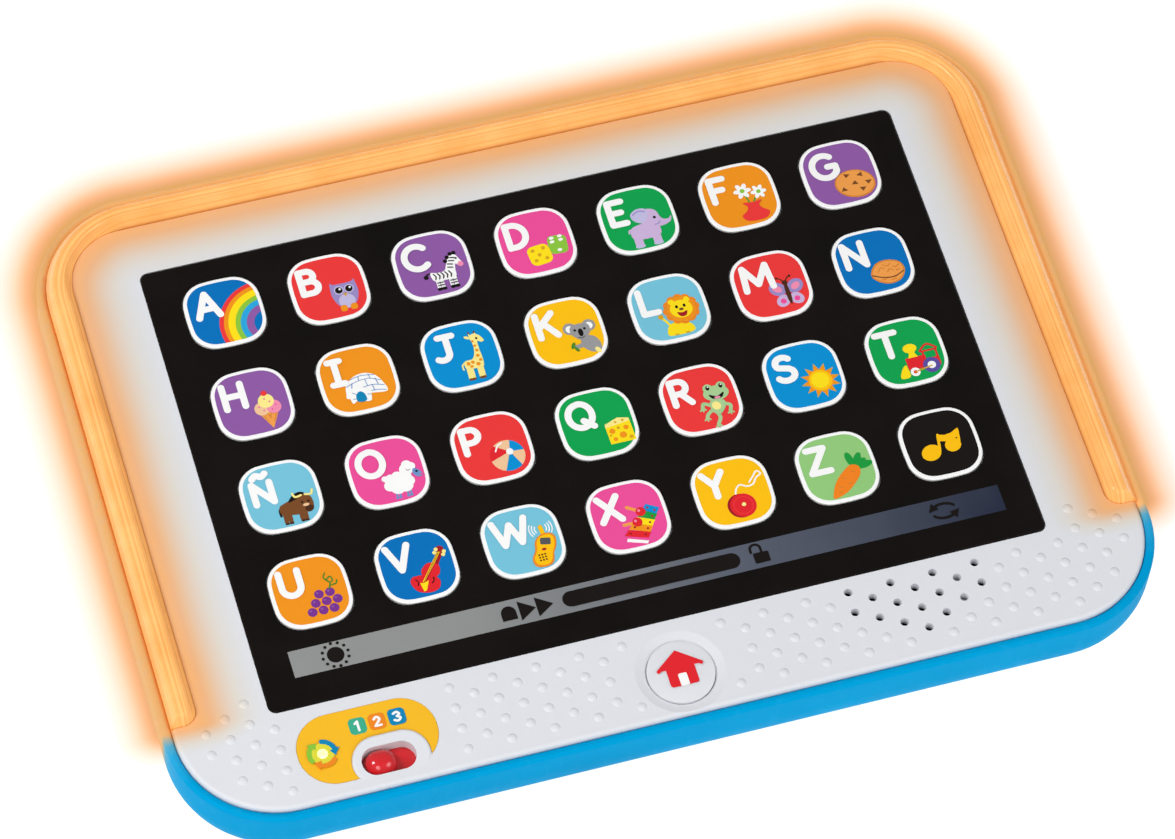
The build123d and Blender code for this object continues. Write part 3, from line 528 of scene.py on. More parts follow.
def dice(art):
    art.box(5.2, -2, 4.9, 5.4, "lime", 1.3, -4)
    for x, y in ((4, -0.9), (6.3, -0.7), (4.1, 0.2), (6.3, 0.4), (5.3, -3.6)):
        art.oval(x, y - 0.1, 0.62, 0.42, "white")
    art.box(0, -3.9, 5.8, 5.8, "lemon", 1.6, 6)
    art.dots([(-1.5, -2.4), (1.3, -2.1), (-0.1, -3.9), (-1.3, -5.4), (1.5, -5.2)], "gold", 0.5)


def elephant(art):
    art.curve([(-2.2, -3), (-3, -2.8), (-3.3, -3.6)], 0.45, "lilac")
    for x in (-1.6, 3.2):
        art.box(x, -6.2, 2.2, 4.4, "lilac", 0.5)
        art.oval(x, -8, 1.3, 0.5, "owl_belly")
    art.blob([(-2.6, -2.6), (0.6, -1.6), (4.2, -2.2), (4.6, -5.4), (1.2, -6.2), (-2.6, -5.6)], "lilac")
    art.blob([(0.2, 1.4), (2.8, 2.4), (5, 1.4), (5.8, -1), (7.4, -1.7), (8.5, -0.9), (7.8, -2.6), (5.4, -3.4),
              (3, -3), (0.6, -1.6)], "lilac")
    art.blob([(-1.6, 1.6), (0.4, 2.9), (2.6, 2.4), (2.6, 0.2), (0.8, -1.4), (-1.2, -0.4)], "owl_belly")
    art.curve([(-1, 1.4), (0.6, 2.2), (2.2, 1.7)], 0.35, "owl")
    art.disc(4.2, -0.5, 0.38, "black")
    art.curve([(3.8, -2.6), (4.7, -2.5), (5.2, -1.9)], 0.28, "owl")


def vase(art):
    art.curves([[(2, -2.6), (1.7, -1.2), (1.2, 0.6)], [(3, -2.6), (3.8, -1.4), (5, -0.2)]], 0.4, "leaf")
    for x, y, size in ((1.1, 1.3, 1), (5.1, 0.2, 0.9)):
        for turn in range(0, 360, 60):
            reach = 1.35 * size
            art.oval(x + reach * cos(radians(turn)), y + reach * sin(radians(turn)), 1 * size, 0.62 * size,
                     "white", turn)
        art.disc(x, y, 0.62 * size, "lime")
    art.blob([(0.2, -2.3), (2.6, -2.5), (5, -2.3), (4.2, -3.6), (4.8, -4.8), (6.2, -6), (5.2, -7.6),
              (2.6, -8), (0, -7.6), (-1, -6), (0.6, -4.8), (1.1, -3.6)], "red")


def cookie(art):
    art.oval(2.8, -3.7, 5.3, 4.2, "crust", -8)
    art.oval(2.8, -3.6, 4.9, 3.8, "cookie", -8)
    for x, y, turn in ((1.3, -0.9, 10), (4.8, -1.4, 60), (2.8, -3.6, 200), (-0.4, -4.9, 330), (4.3, -5.6, 140),
                       (6.3, -3.9, 20)):
        corners = [(x + 1 * cos(radians(turn + k)), y + 0.8 * sin(radians(turn + k))) for k in (0, 125, 240)]
        art.shape(corners, "brown")


def ice_cream(art):
    art.shape([(0.6, -3), (6, -3), (3.3, -8.2)], "cookie")
    for k in range(3):
        art.line([(1.3 + 1.3 * k, -3.4), (2.6 + 0.9 * k, -6.2 + 1 * k)], 0.25, "crust")
        art.line([(5.3 - 1.3 * k, -3.4), (4 - 0.9 * k, -6.2 + 1 * k)], 0.25, "crust")
    art.disc(1.8, -2.2, 1.9, "tan")
    art.disc(4.8, -2.2, 1.9, "rose")
    art.disc(3.3, -0.2, 2, "pale_yellow")
    art.disc(3.3, 2, 0.75, "red")
    art.dots([(1.2, -1.6), (2.2, -2.8), (5.4, -1.8), (4.3, -2.9), (3, 0.4), (4.1, -0.6)], "pink", 0.22)


def igloo(art):
    art.blob([(-3.9, -3.4), (-3.2, -0.8), (-0.8, 1), (1.9, 1.4), (4.4, 0.2), (5.9, -2.4), (6.2, -5),
              (1.6, -4.6), (-3.6, -5)], "white")
    art.curves([[(-3.4, -1.6), (-0.6, -0.6), (2.6, -0.4), (5.4, -1.6)], [(-2.2, 0.2), (0.8, 0.8), (4.2, 0.3)],
                [(0.4, -2.6), (3.2, -2.4), (5.9, -3.2)], [(2.4, -4), (4.4, -4.2), (6, -4.6)],
                [(0.2, 0.7), (0, -0.5)], [(2.8, 0.8), (3, -0.4)], [(1.6, -0.5), (1.8, -2.4)],
                [(4.2, -0.8), (4.5, -2.6)], [(3, -2.5), (3.2, -4.1)], [(-1.8, -0.9), (-2.2, -2.2)]],
               0.2, "steel_blue")
    art.blob([(-3, -6.6), (-3.2, -4), (-1.4, -2.3), (0.6, -2.6), (2, -4.2), (1.8, -6.6), (0.2, -6.7),
              (-0.4, -6), (-1.6, -6)], "white")
    art.blob([(-1.6, -6.4), (-1.7, -4.6), (-0.6, -3.6), (0.5, -4.4), (0.6, -6.4)], "deep_blue")
    art.curves([[(-2.6, -5.4), (-1.9, -5.5)], [(-2.4, -3.6), (-1.6, -4.2)], [(1.2, -4.8), (1.8, -5)]],
               0.2, "steel_blue")


def giraffe(art):
    for x in (0.4, 1.2, 3.1, 3.8):
        art.line([(x, -3.6), (x - 0.1, -6.8)], 0.95, "pale_yellow")
        art.line([(x - 0.25, -7.3), (x + 0.1, -7.3)], 0.7, "brown")
    art.curve([(-0.2, -2.4), (-0.8, -3), (-0.8, -4.2)], 0.4, "pale_yellow")
    art.blob([(0, -2), (2.2, -1.6), (3.2, 0.6), (3.3, 3), (2.9, 4.6), (4.2, 5.4), (5.6, 4.6), (6.4, 3),
              (5.6, 2.6), (4.7, 3), (4.6, 0.4), (4.7, -2.4), (4.2, -4.4), (1.8, -4.4), (0, -4.2)], "pale_yellow")
    for x in (3.2, 4.7):
        art.line([(x, 4.8), (x - 0.1, 5.7)], 0.32, "pale_yellow")
        art.disc(x - 0.1, 5.8, 0.3, "brown")
    art.oval(2.4, 4.6, 0.8, 0.4, "pale_yellow", 150)
    art.dots([(0.8, -2.8, 0.5), (2, -2.6, 0.45), (1.4, -3.7, 0.4), (3.2, -3.4, 0.5), (4.1, -2.3, 0.4),
              (3.7, -1, 0.45), (3.9, 0.5, 0.4), (3.7, 1.9, 0.38), (3.5, 3.2, 0.32)], "orange")
    art.disc(4.7, 3.9, 0.28, "black")


def koala(art):
    art.blob([(3.4, -2.4), (6, -2.6), (7.4, -4.4), (7.4, -6.8), (5.6, -7.4), (3.8, -6.4), (2.8, -4.6)], "grey")
    art.oval(6.4, -7, 0.6, 1, "pale_yellow", 30)
    for x in (1, 6):
        art.disc(x, 0.5, 1.7, "grey")
        art.disc(x, 0.4, 1, "white")
    art.blob([(1.3, 1), (3.5, 1.5), (5.7, 1), (6, -1), (4.6, -2.8), (3.4, -3.2), (2.3, -2.8), (1, -1)],
             "grey")
    art.oval(3.5, -1.1, 0.65, 1.15, "black")
    art.dots([(2.2, -0.2), (4.7, -0.2)], "black", 0.34)
    art.curve([(2.6, -2.4), (3.4, -2.7), (4.2, -2.4)], 0.26, "dark_grey")
    art.curve([(1.4, -5), (2.8, -4.8), (4.2, -4.2)], 1.2, "grey")
    art.oval(0.6, -4.4, 1, 0.45, "vine", 60)
    art.oval(1.2, -5.6, 0.9, 0.4, "vine", 120)


def lion(art):
    art.curve([(-0.8, -5.6), (-1.8, -3.6), (-2.6, -2.4)], 0.6, "lemon")
    art.disc(-2.8, -2, 0.7, "gold")
    art.blob([(-1.6, -5), (0.8, -4.2), (3.6, -5), (4.8, -7), (3.4, -8), (-1, -8), (-2.4, -7.4)], "lemon")
    for k in range(12):
        turn = radians(30 * k)
        art.disc(2.9 + 3.5 * cos(turn), -0.9 + 3.2 * sin(turn), 1.25, "mid_orange")
    art.disc(2.9, -0.9, 3.7, "orange")
    for x in (0.9, 4.9):
        art.disc(x, 1.5, 0.8, "lemon")
    art.oval(2.9, -0.9, 2.9, 2.6, "lemon")
    for x in (1.9, 3.9):
        art.oval(x, -0.1, 0.36, 0.48, "black")
    art.oval(2.9, -1, 0.6, 0.4, "brown")
    art.blob([(1.6, -1.7), (2.9, -2), (4.2, -1.7), (3.6, -3), (2.2, -3)], "maroon")
    art.lines([[(-0.6, -7.9), (0.2, -7.9)], [(2.2, -7.9), (3, -7.9)]], 0.3, "gold")


def butterfly(art):
    for side in (-1, 1):
        art.oval(3.4 + side * 2.3, -1.6, 2.3, 1.9, "owl", side * 35)
        art.oval(3.4 + side * 2.4, -1.6, 1.3, 0.9, "rose", side * 35)
        art.oval(3.4 + side * 1.8, -5.2, 1.9, 1.6, "lilac", side * -40)
        art.disc(3.4 + side * 1.8, -5.3, 0.75, "pink")
        art.curve([(3.4, -0.4), (3.4 + side * 0.8, 1), (3.4 + side * 1.7, 1.5)], 0.3, "dark_brown")
        art.disc(3.4 + side * 1.7, 1.5, 0.35, "dark_brown")
    art.oval(3.4, -3.4, 0.6, 3.2, "dark_brown")
    art.disc(3.4, -0.2, 0.7, "dark_brown")


def walnut(art):
    art.blob([(-1.7, -3.6), (0.2, -0.8), (3.4, -0.2), (6.4, -1.4), (7.2, -4), (5.4, -6.6), (2.2, -7.2),
              (-0.6, -5.8)], "crust")
    art.blob([(-1.3, -3.6), (0.4, -1.2), (3.4, -0.6), (6.1, -1.7), (6.8, -4), (5.1, -6.2), (2.2, -6.8),
              (-0.4, -5.4)], "cookie")
    art.curve([(-1.4, -3.9), (1, -5), (4, -5.4), (6.7, -4.3)], 0.35, "brown")
    art.curves([[(0.4, -3.2), (1.2, -2.2), (2, -2.6)], [(2, -1.4), (3, -2), (4, -1.4)],
                [(2.6, -3.8), (3.4, -3), (4.2, -3.6)], [(4.4, -2.4), (5.2, -2.8), (5.9, -2.2)],
                [(0.8, -5.8), (1.8, -5.6)], [(3, -6.2), (4.2, -6)], [(5, -3.8), (5.8, -3.6)]], 0.26, "crust")


def gnu(art):
    art.curve([(-0.6, -3), (-1.4, -4), (-1.4, -5.6)], 0.6, "black")
    for x in (-0.4, 0.7, 3.6, 4.6):
        art.line([(x, -4.8), (x - 0.1, -7.4)], 1.1, "brown")
        art.line([(x - 0.3, -8), (x + 0.2, -8)], 0.6, "dark_brown")
    art.blob([(-1.2, -3), (1, -2), (3.6, -1), (5.4, -1.4), (5.6, -4.2), (4, -6), (0.6, -5.8),
              (-1.2, -5.2)], "brown")
    art.blob([(1.2, -2.2), (2.6, -0.6), (4.4, 0), (5.6, -0.6), (4.2, -1.4), (2.8, -2)], "black")
    art.blob([(4, -1.2), (6.4, -1.2), (7.2, -3.2), (6.8, -5.4), (5.4, -6), (4.2, -4.6)], "brown")
    art.oval(5.9, -5, 1.1, 0.9, "dark_brown", 10)
    for side in (-1, 1):
        art.curve([(5.2 + side * 0.5, -1), (5.2 + side * 2, -1.2), (5.2 + side * 2.5, -0.1)], 0.55, "pale_yellow")
        art.disc(5.3 + side * 0.8, -3, 0.3, "black")
    art.oval(5.3, -3.9, 0.8, 0.4, "tan")


def sheep(art):
    for x in (0.6, 1.4, 3.4, 4.2):
        art.line([(x, -5.6), (x, -7.6)], 0.5, "steel_blue")
        art.disc(x - 0.1, -7.8, 0.4, "steel_blue")
    art.dots([(0.2, -2.6, 1.6), (2, -2.2, 1.6), (3.9, -2.6, 1.6), (-0.4, -4.2, 1.5), (1.4, -5, 1.9),
              (3.4, -4.8, 1.9), (4.6, -3.8, 1.4), (2.2, -3.6, 2.6), (-1.2, -2, 0.8), (4.6, -0.6, 1.7),
              (5, 0.6, 1.3), (5.9, 0, 1.2)], "white")
    art.blob([(6.2, -0.9), (7.2, -1), (8.3, -2.6), (8, -3.3), (6.8, -3.2), (6, -2.2)], "steel_blue")
    art.disc(7, -1.7, 0.32, "black")
    art.disc(8, -2.8, 0.3, "pink")
    art.curve([(4.6, -0.6), (5, -1), (5.5, -0.8)], 0.22, "grey")


def beach_ball(art):
    art.disc(3, -3.2, 4.4, "tan")
    for turn, ink in ((10, "sky"), (130, "scarlet"), (250, "sky")):
        edge = arc(3, -3.2, 4.4, 4.4, turn, turn + 60, 10)
        tip = (3.8, -2.2)
        art.shape([tip, *edge], ink)
    art.disc(3.8, -2.2, 0.9, "white")
    art.curve([(0.4, -1.4), (1.2, 0), (2.4, 0.6)], 0.4, "white")


def cheese(art):
    art.shape([(1.6, -1), (5.2, 0.3), (8, -0.4), (8.2, -6.8), (1.7, -6.8)], "lemon")
    art.shape([(1.6, -1), (5.2, 0.3), (8, -0.4), (8, -1.2), (1.6, -2)], "pale_yellow")
    for x, y, size in ((3, -3.2, 0.75), (5.4, -4.8, 0.9), (3.2, -5.6, 0.55), (6.6, -2.9, 0.65), (4.7, -2.6, 0.4),
                       (7.2, -5.8, 0.5), (2.3, -4.3, 0.3), (6.3, -0.7, 0.35), (4.4, -0.9, 0.3)):
        art.disc(x, y, size, "orange" if size > 0.5 else "gold")


def frog(art):
    for points in ([(2.4, -3.4), (0.6, -4.6), (0, -5.6)], [(2.8, -4.6), (3.2, -6.2), (2.2, -8)],
                   [(5, -2.6), (6.6, -3.4), (6.2, -5)], [(1.8, -2.4), (0.2, -1.6), (-0.4, -2.8)]):
        art.curve(points, 0.95, "frog")
        x, y = points[-1]
        for turn in (-140, -90, -40):
            art.line([(x, y), (x + 0.9 * cos(radians(turn)), y + 0.9 * sin(radians(turn)))], 0.45, "frog")
    art.blob([(1.8, -1.6), (3.6, -1), (5.6, -1.8), (5.2, -3.8), (3.4, -5.4), (1.8, -4.2)], "frog")
    art.oval(3.2, -2.8, 1.1, 1.2, "pale_yellow", 20)
    art.oval(4.1, 0.7, 3.3, 2.2, "frog")
    for x in (2.4, 5.8):
        art.disc(x, 2.4, 1.25, "frog")
        art.oval(x, 2.5, 0.5, 0.65, "black")
        art.disc(x + 0.15, 2.8, 0.2, "white")
    art.blob([(2.2, 0.6), (4.1, -0.2), (6, 0.6), (5.2, -0.8), (3, -0.8)], "black")
    art.oval(4.1, -0.6, 0.8, 0.35, "rose")


def sun(art):
    for ink, reach in (("gold", 5.1), ("orange", 4.4)):
        points = []
        for k in range(24):
            radius = reach if k % 2 == 0 else 3.1
            points.append((3.6 + radius * cos(radians(15 * k + 5)), -2.4 + radius * sin(radians(15 * k + 5))))
        art.shape(points, ink)
    art.disc(3.6, -2.4, 3, "yellow")
    art.disc(3.5, -2.3, 2.3, "lemon")


def train(art):
    art.shape([(-1, -7), (-1, -5.4), (-3.2, -7)], "lemon")
    art.blob([(-3.6, -7.2), (-2.8, -5), (-1.6, -3.8), (-1.2, -4.4), (-1.2, -7.2)], "lemon")
    art.box(1.6, -3.7, 5.2, 3.6, "scarlet", 0.3)
    art.shape([(-0.2, -2), (2.4, -2), (1.8, -0.8), (2.6, 0.6), (-0.6, 0.6), (0.4, -0.8)], "lemon")
    art.oval(1, 0.7, 1.8, 1.3, "lemon")
    art.lines([[(3.4, -0.9), (7.4, -0.9)], [(3.8, -0.9), (3.8, -3)], [(7.2, -0.9), (7.2, -3.6)]], 0.5, "scarlet")
    art.curve([(3.2, -0.7), (5.4, 0.9), (7.6, -0.6)], 0.5, "scarlet")
    art.box(5.6, -4.4, 3.8, 2.6, "scarlet", 0.3)
    art.disc(5, -5.2, 2.2, "indigo")
    art.disc(5, -5.2, 1.05, "white")
    art.disc(0.4, -6.2, 1.25, "white")
    art.disc(0.4, -6.2, 0.5, "scarlet")
    art.line([(0.4, -6.2), (5, -5.4)], 0.35, "gold")


def grapes(art):
    for row, (count, x0) in enumerate(((2, 1.8), (3, 0.4), (3, -1))):
        for k in range(count):
            x, y = x0 + 2.75 * k, -1.5 - 2.25 * row
            art.disc(x, y, 1.2, "grape")
            art.disc(x - 0.35, y + 0.4, 0.28, "purple")
    art.curves([[(4.6, -0.6), (5.2, 0.8), (4.6, 1.8), (5.6, 2.6), (6, 1.4), (5.2, 1)],
                [(4.8, 1.4), (4, 2.6), (4.6, 3.8)], [(5.4, 0.2), (6.6, 0.4), (7, 1.2)]], 0.34, "vine")


def violin(art):
    art.line([(3.8, -2), (6.4, 2)], 1.1, "maroon")
    art.disc(6.5, 3, 1, "maroon")
    art.dots([(5, 2.4), (5.6, 3.2), (7, 1.4), (7.4, 2.2)], "pale_yellow", 0.5)
    art.blob([(0.6, -1.6), (2.2, -0.1), (4, -0.2), (5.2, -1.4), (4.8, -3.4), (3.9, -4.2), (4.4, -5.4), (3.6, -7.4),
              (1.2, -8), (-1.6, -7), (-2.8, -4.6), (-2.2, -3), (-0.6, -2.8), (0.4, -2.8)], "scarlet")
    art.shape([(-0.2, -7.4), (0.5, -7.2), (1.7, -4.6), (0.1, -5.1), (-0.6, -4.9)], "lemon")
    art.shape([(0, -4.9), (0.9, -4.6), (6.4, 2.2), (5.7, 2.5)], "lemon")
    for k in (0, 1, 2):
        art.line([(0.3 + 0.35 * k, -5 + 0.1 * k), (5.7 + 0.28 * k, 2.3 - 0.15 * k)], 0.14, "maroon")
    art.curves([[(-1.4, -3.8), (-0.9, -4.6), (-1.2, -5.4)], [(3, -4.2), (2.9, -5), (2.3, -5.6)]], 0.28, "black")


def radio(art):
    for radius in (1.5, 2.2, 2.9):
        art.ribbon(arc(5, 2.2, radius, radius, 150, 215, 8), 0.3, "white")
        art.ribbon(arc(5, 2.2, radius, radius, -35, 30, 8), 0.3, "white")
    art.line([(5, 2.6), (5.2, 0.6)], 1.1, "yellow")
    art.blob([(4.2, 0.4), (6.6, 0.6), (7.9, -0.8), (7.5, -3.2), (6.5, -5), (5.6, -7.6), (3.6, -8.4), (1.2, -7.8),
              (0.8, -5.6), (2, -3.6), (2.6, -1.2)], "mid_orange")
    art.blob([(4.3, 0), (6.4, 0.2), (7.4, -0.9), (7.1, -3), (6.1, -5), (5.2, -7.2), (3.6, -7.9), (1.7, -7.3),
              (1.3, -5.6), (2.5, -3.6), (3.1, -1.2)], "yellow")
    art.box(5.2, -1.5, 2.6, 1.9, "dark_grey", 0.4, -12)
    art.oval(4.3, -3.6, 0.6, 0.35, "maroon")
    for x in range(-1, 2):
        for y in range(-1, 2):
            art.disc(3.4 + 0.75 * x, -5.7 + 0.75 * y, 0.24, "black")


def xylophone(art):
    art.lines([[(0.2, 2.4), (3, 0.6)], [(-1.8, -2.2), (1.8, -2.2)]], 0.9, "cookie")
    for k, ink in enumerate(("scarlet", "orange", "lemon", "leaf", "sky")):
        x, y = 0.4 + 1.25 * k, -6.1 + 1.5 * k
        art.shape([(x - 3 + 0.3 * k, y + 0.9), (x - 1.6 + 0.3 * k, y + 2.3), (x + 3.8 - 0.3 * k, y + 0.5),
                   (x + 2.6 - 0.3 * k, y - 1)], ink)
        art.disc(x - 1.3 + 0.25 * k, y + 1.2, 0.3, "maroon")
        art.disc(x + 2.2 - 0.25 * k, y + 0.1, 0.3, "maroon")
    art.shape([(-2, -6.1), (2.9, -7.9), (2.4, -8.6), (-2.5, -6.9)], "white")
    art.dots([(3.2, 0.4), (1.6, -2.2)], "scarlet", 1.25)
    art.dots([(2.8, 0.8), (1.2, -1.8)], "rose", 0.35)


def yo_yo(art):
    art.curve([(0.2, -2.4), (0.6, 0), (2, 1.4), (3.8, 0.6), (5.4, 0.9), (6.6, 2.4), (8, 3.2), (7.2, 4.2),
               (5.8, 2.8), (4.6, 1.6)], 0.42, "white")
    art.disc(0.7, -4.3, 3.4, "maroon")
    art.disc(1.3, -4.3, 3.3, "scarlet")
    art.ribbon(arc(1.3, -4.3, 2.4, 2.4, 0, 360, 40), 0.22, "red")
    art.disc(1.5, -4.1, 0.55, "pale_yellow")


def carrot(art):
    for x, y, turn in ((3.6, 1.4, 100), (5.4, 0.9, 60), (6.9, -0.9, 10), (5.8, -0.4, 35)):
        art.oval(x, y, 2.1, 0.95, "leaf", turn)
    art.blob([(0.6, -1.9), (3.2, -0.2), (5.2, -1), (5, -3.2), (2.8, -5.6), (0, -7.6), (-3.4, -8.4),
              (-2.4, -5.4), (-1, -3.4)], "carrot")
    art.lines([[(0.2, -3.2), (1.4, -3.8)], [(2.2, -5), (1.2, -5.3)], [(-1.2, -5.4), (-0.2, -5.9)],
               [(3, -2), (3.9, -2.4)], [(-0.8, -7), (-1.6, -7)]], 0.28, "crust")


def notes(art):
    art.oval(-3, -2.1, 2.6, 2.2, "yellow", 20)
    art.oval(2.9, -1.2, 2.1, 1.9, "yellow", 20)
    art.lines([[(-0.7, -1.6), (0, 2.4)], [(4.7, -0.6), (5.2, 2.6)]], 0.7, "yellow")
    art.shape([(-0.3, 2.6), (1.6, 2), (3.4, 2.2), (5.5, 3.2), (5.2, 0.9), (3.2, 0.2), (1.5, 0.1), (-0.5, 0.7)],
              "yellow")


KEYS = {
    "key_a": ("blue", rainbow), "key_b": ("red", owl), "key_c": ("purple", zebra), "key_d": ("pink", dice),
    "key_e": ("green", elephant), "key_f": ("orange", vase), "key_g": ("purple", cookie),
    "key_h": ("purple", ice_cream), "key_i": ("orange", igloo), "key_j": ("sky", giraffe),
    "key_k": ("yellow", koala), "key_l": ("light_blue", lion), "key_m": ("red", butterfly),
    "key_n": ("blue", walnut), "key_enye": ("light_blue", gnu), "key_o": ("pink", sheep),
    "key_p": ("red", beach_ball), "key_q": ("green", cheese), "key_r": ("red", frog), "key_s": ("sky", sun),
    "key_t": ("green", train), "key_u": ("orange", grapes), "key_v": ("blue", violin),
    "key_w": ("light_blue", radio), "key_x": ("pink", xylophone), "key_y": ("yellow", yo_yo),
    "key_z": ("light_green", carrot), "key_notes": ("black", notes),
}


def key_faces():
    """A coloured face, a letter and a picture on each key, inside its white border."""
    for node, (ink, picture) in KEYS.items():
        x, y, top = centre(node)
        art = Print("face_" + node[4:], x, y, top)
        art.shape(squircle(1.0), ink)
        picture(art)
        if node[4:] in LETTERS:
            letter(art, node[4:])
        art.finish(node)


# ---- camera, at the photograph's angle ----
EYE = (-9.896, -25.385, 46.004)          # from the keypad's middle, in key pitches
LOOK_RIGHT = (0.9577, -0.2833, 0.0509)
LOOK_AHEAD = (0.1845, 0.4685, -0.8640)
KEYPAD_Y = 9.3
LENS = 177.47
SENSOR = 36.0


def camera():
    target = Vector((0.0, KEYPAD_Y * MM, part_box("screen_overlay")[1][2]))
    right = Vector(LOOK_RIGHT).normalized()
    back = -Vector(LOOK_AHEAD).normalized()
    data = bpy.data.cameras.new("camera")
    data.lens = LENS
    data.sensor_width = SENSOR
    data.clip_start = 0.05
    seen = bpy.data.objects.new("camera", data)
    turned = Matrix((right, back.cross(right), back)).transposed().to_4x4()
    seen.matrix_world = Matrix.Translation(target + Vector(EYE) * PITCH_X * MM) @ turned
    scene.collection.objects.link(seen)
    scene.camera = seen


# ---- lights and floor ----
# the light frame's glow as it is painted on the floor, bezel and shell, as distances in millimetres and colours
FLOOR_PAINTED_GLOW = (
    (0.0, "dda25f"), (2.5, "dda25f"), (4.0, "e8a874"), (5.0, "f2b280"), (6.0, "f8be92"), (8.0, "fdd6b8"),
    (10.0, "fee4d2"), (12.5, "fff1e6"), (16.0, "ffffff"),
)
BEZEL_PAINTED_GLOW = (
    (0.0, "f3b06f"), (1.5, "f0b273"), (3.0, "ecb27f"), (4.5, "e9bc90"), (6.0, "e5c4a6"), (8.0, "e2cebc"),
    (10.0, "dfd7cc"), (12.5, "dedcda"), (16.0, "dee0e5"),
)
SHELL_PAINTED_SHINE = ((0.0, "f0a860"), (3.0, "d89a5c"), (6.0, "6a5038"), (9.0, "000000"))
SHELL_PAINTED_GLOW = (
    (0.0, "e0a765"), (2.6, "dba970"), (4.5, "a8a995"), (8.0, "58aac8"), (14.0, "2ba3d6"), (30.0, "009bd3"),
)
SKY = 0.35
LIGHTS = (                    # each a name, a place in metres, a size and a power
    ("key", (-0.95, 0.1, 1.1), 0.5, 9.2),
    ("fill", (0.8, -0.9, 1.0), 1.0, 6.6),
    ("front", (-0.5, -1.1, 1.1), 0.9, 6.6),
)


def area_light(name, place, size, power):
    data = bpy.data.lights.new(name, "AREA")
    data.shape = "DISK"
    data.size = size
    data.energy = power
    lamp = bpy.data.objects.new(name, data)
    lamp.location = place
    lamp.rotation_euler = (-Vector(place)).to_track_quat("-Z", "Y").to_euler()
    scene.collection.objects.link(lamp)


def surroundings():
    world = bpy.data.worlds.new("studio")
    world.use_nodes = True
    sky = world.node_tree.nodes["Background"].inputs
    sky["Color"].default_value = (1.0, 1.0, 1.0, 1.0)
    sky["Strength"].default_value = SKY
    scene.world = world
    scene.view_settings.view_transform = "Standard"
    for lamp in LIGHTS:
        area_light(*lamp)


def floor():
    """A pale, evenly bright floor with the light frame's orange glow painted on it all round its outline."""
    look = Look("floor")
    # painted light: an orange pool of the frame's glow in the floor's emission and colour, laid round the frame's
    # outline as seen from the camera's place
    eye = scene.camera.location / MM
    lift = RIM_Z / eye.z
    away, _, _ = away_from_frame(look, 1.0 - lift, (eye.x * lift, eye.y * lift), 1.4, filled=True)
    glow = look.ramp(away, 17.0, FLOOR_PAINTED_GLOW)
    cloud = look.spread(look.noise(60.0), 0.0, 0.03)
    look.put("Emission Color", look.mix(cloud, glow, "ffffff"))
    look.put("Emission Strength", 0.87)
    look.put("Base Color", look.mix(0.66, glow, "000000"))
    look.gloss(60.0, 0.75, 0.85)
    look.put("Specular IOR Level", 0.05)
    reach = 1600.0
    ground = new_piece(
        "floor", [(-reach, -reach, 0), (reach, -reach, 0), (reach, reach, 0), (-reach, reach, 0)],
        [(0, 1, 2, 3)], [look.material],
    )


# ---- finishes of the CAD nodes ----
def bezel_look():
    """Pale matt plastic with the light frame's orange glow painted into its colour beside the frame."""
    look = Look("bezel_plastic")
    away, _, _ = away_from_frame(look)
    # painted light: the frame's orange glow in the bezel's base colour, fading over 16 mm from the frame
    glow = look.ramp(away, 16.0, BEZEL_PAINTED_GLOW)
    look.put("Base Color", look.mix(look.spread(look.noise(30.0), 0.0, 0.12), glow, "d3d5da"))
    look.gloss(300.0, 0.42, 0.56, 5.0)
    look.put("Specular IOR Level", 0.3)
    look.bump(look.noise(3200.0, 2.0), 0.02)
    return look.material


# painted light: the shell's painted glow reaches further down the left wall than down the back and right walls
LEFT_WALL = (-0.118, -0.1)    # where the shell's glow goes over from the left wall's to the other walls', in metres
GLOW_FOOT = 0.012             # how much higher the glow starts on the other walls, in metres


def shell_look():
    """Satin blue plastic, rubbed paler in places, with the light frame's glow painted along its shoulder in its
    colour and as an orange shine.
    """
    look = Look("shell_plastic")
    away, _, height = away_from_frame(look)
    # painted light: the frame's orange glow in the shell's base colour, near the frame and on the upper walls
    glow = look.ramp(away, 31.0, SHELL_PAINTED_GLOW)
    axes = look.axes()
    raised = look.spread(axes["X"], 0.0, GLOW_FOOT, *LEFT_WALL)
    upper = look.spread(look.sum("SUBTRACT", height, raised), 0.0, 1.0, 0.004, 0.012)
    rub = look.spread(look.noise(420.0, 6.0, stretch=(1.0, 1.0, 0.3)), 0.0, 0.08, 0.55, 0.75)
    blue = look.mix(look.cloud(28.0), "0092c8", "009ed6")
    look.put("Base Color", look.mix(rub, look.mix(upper, blue, glow), "4fbdea"))
    # painted glow: orange emission near the frame, weaker off the left wall
    dimmed = look.sum("MULTIPLY", upper, look.spread(axes["X"], 0.35, 1.0, *LEFT_WALL))
    painted_shine = look.mix(dimmed, "000000", look.ramp(away, 9.0, SHELL_PAINTED_SHINE))
    look.put("Emission Color", painted_shine)
    look.put("Emission Strength", 0.3)
    look.gloss(260.0, 0.4, 0.52, 5.0)
    look.put("IOR", 1.07)
    look.put("Specular IOR Level", 0.4)
    look.bump(look.noise(2400.0, 2.0), 0.015)
    return look.material


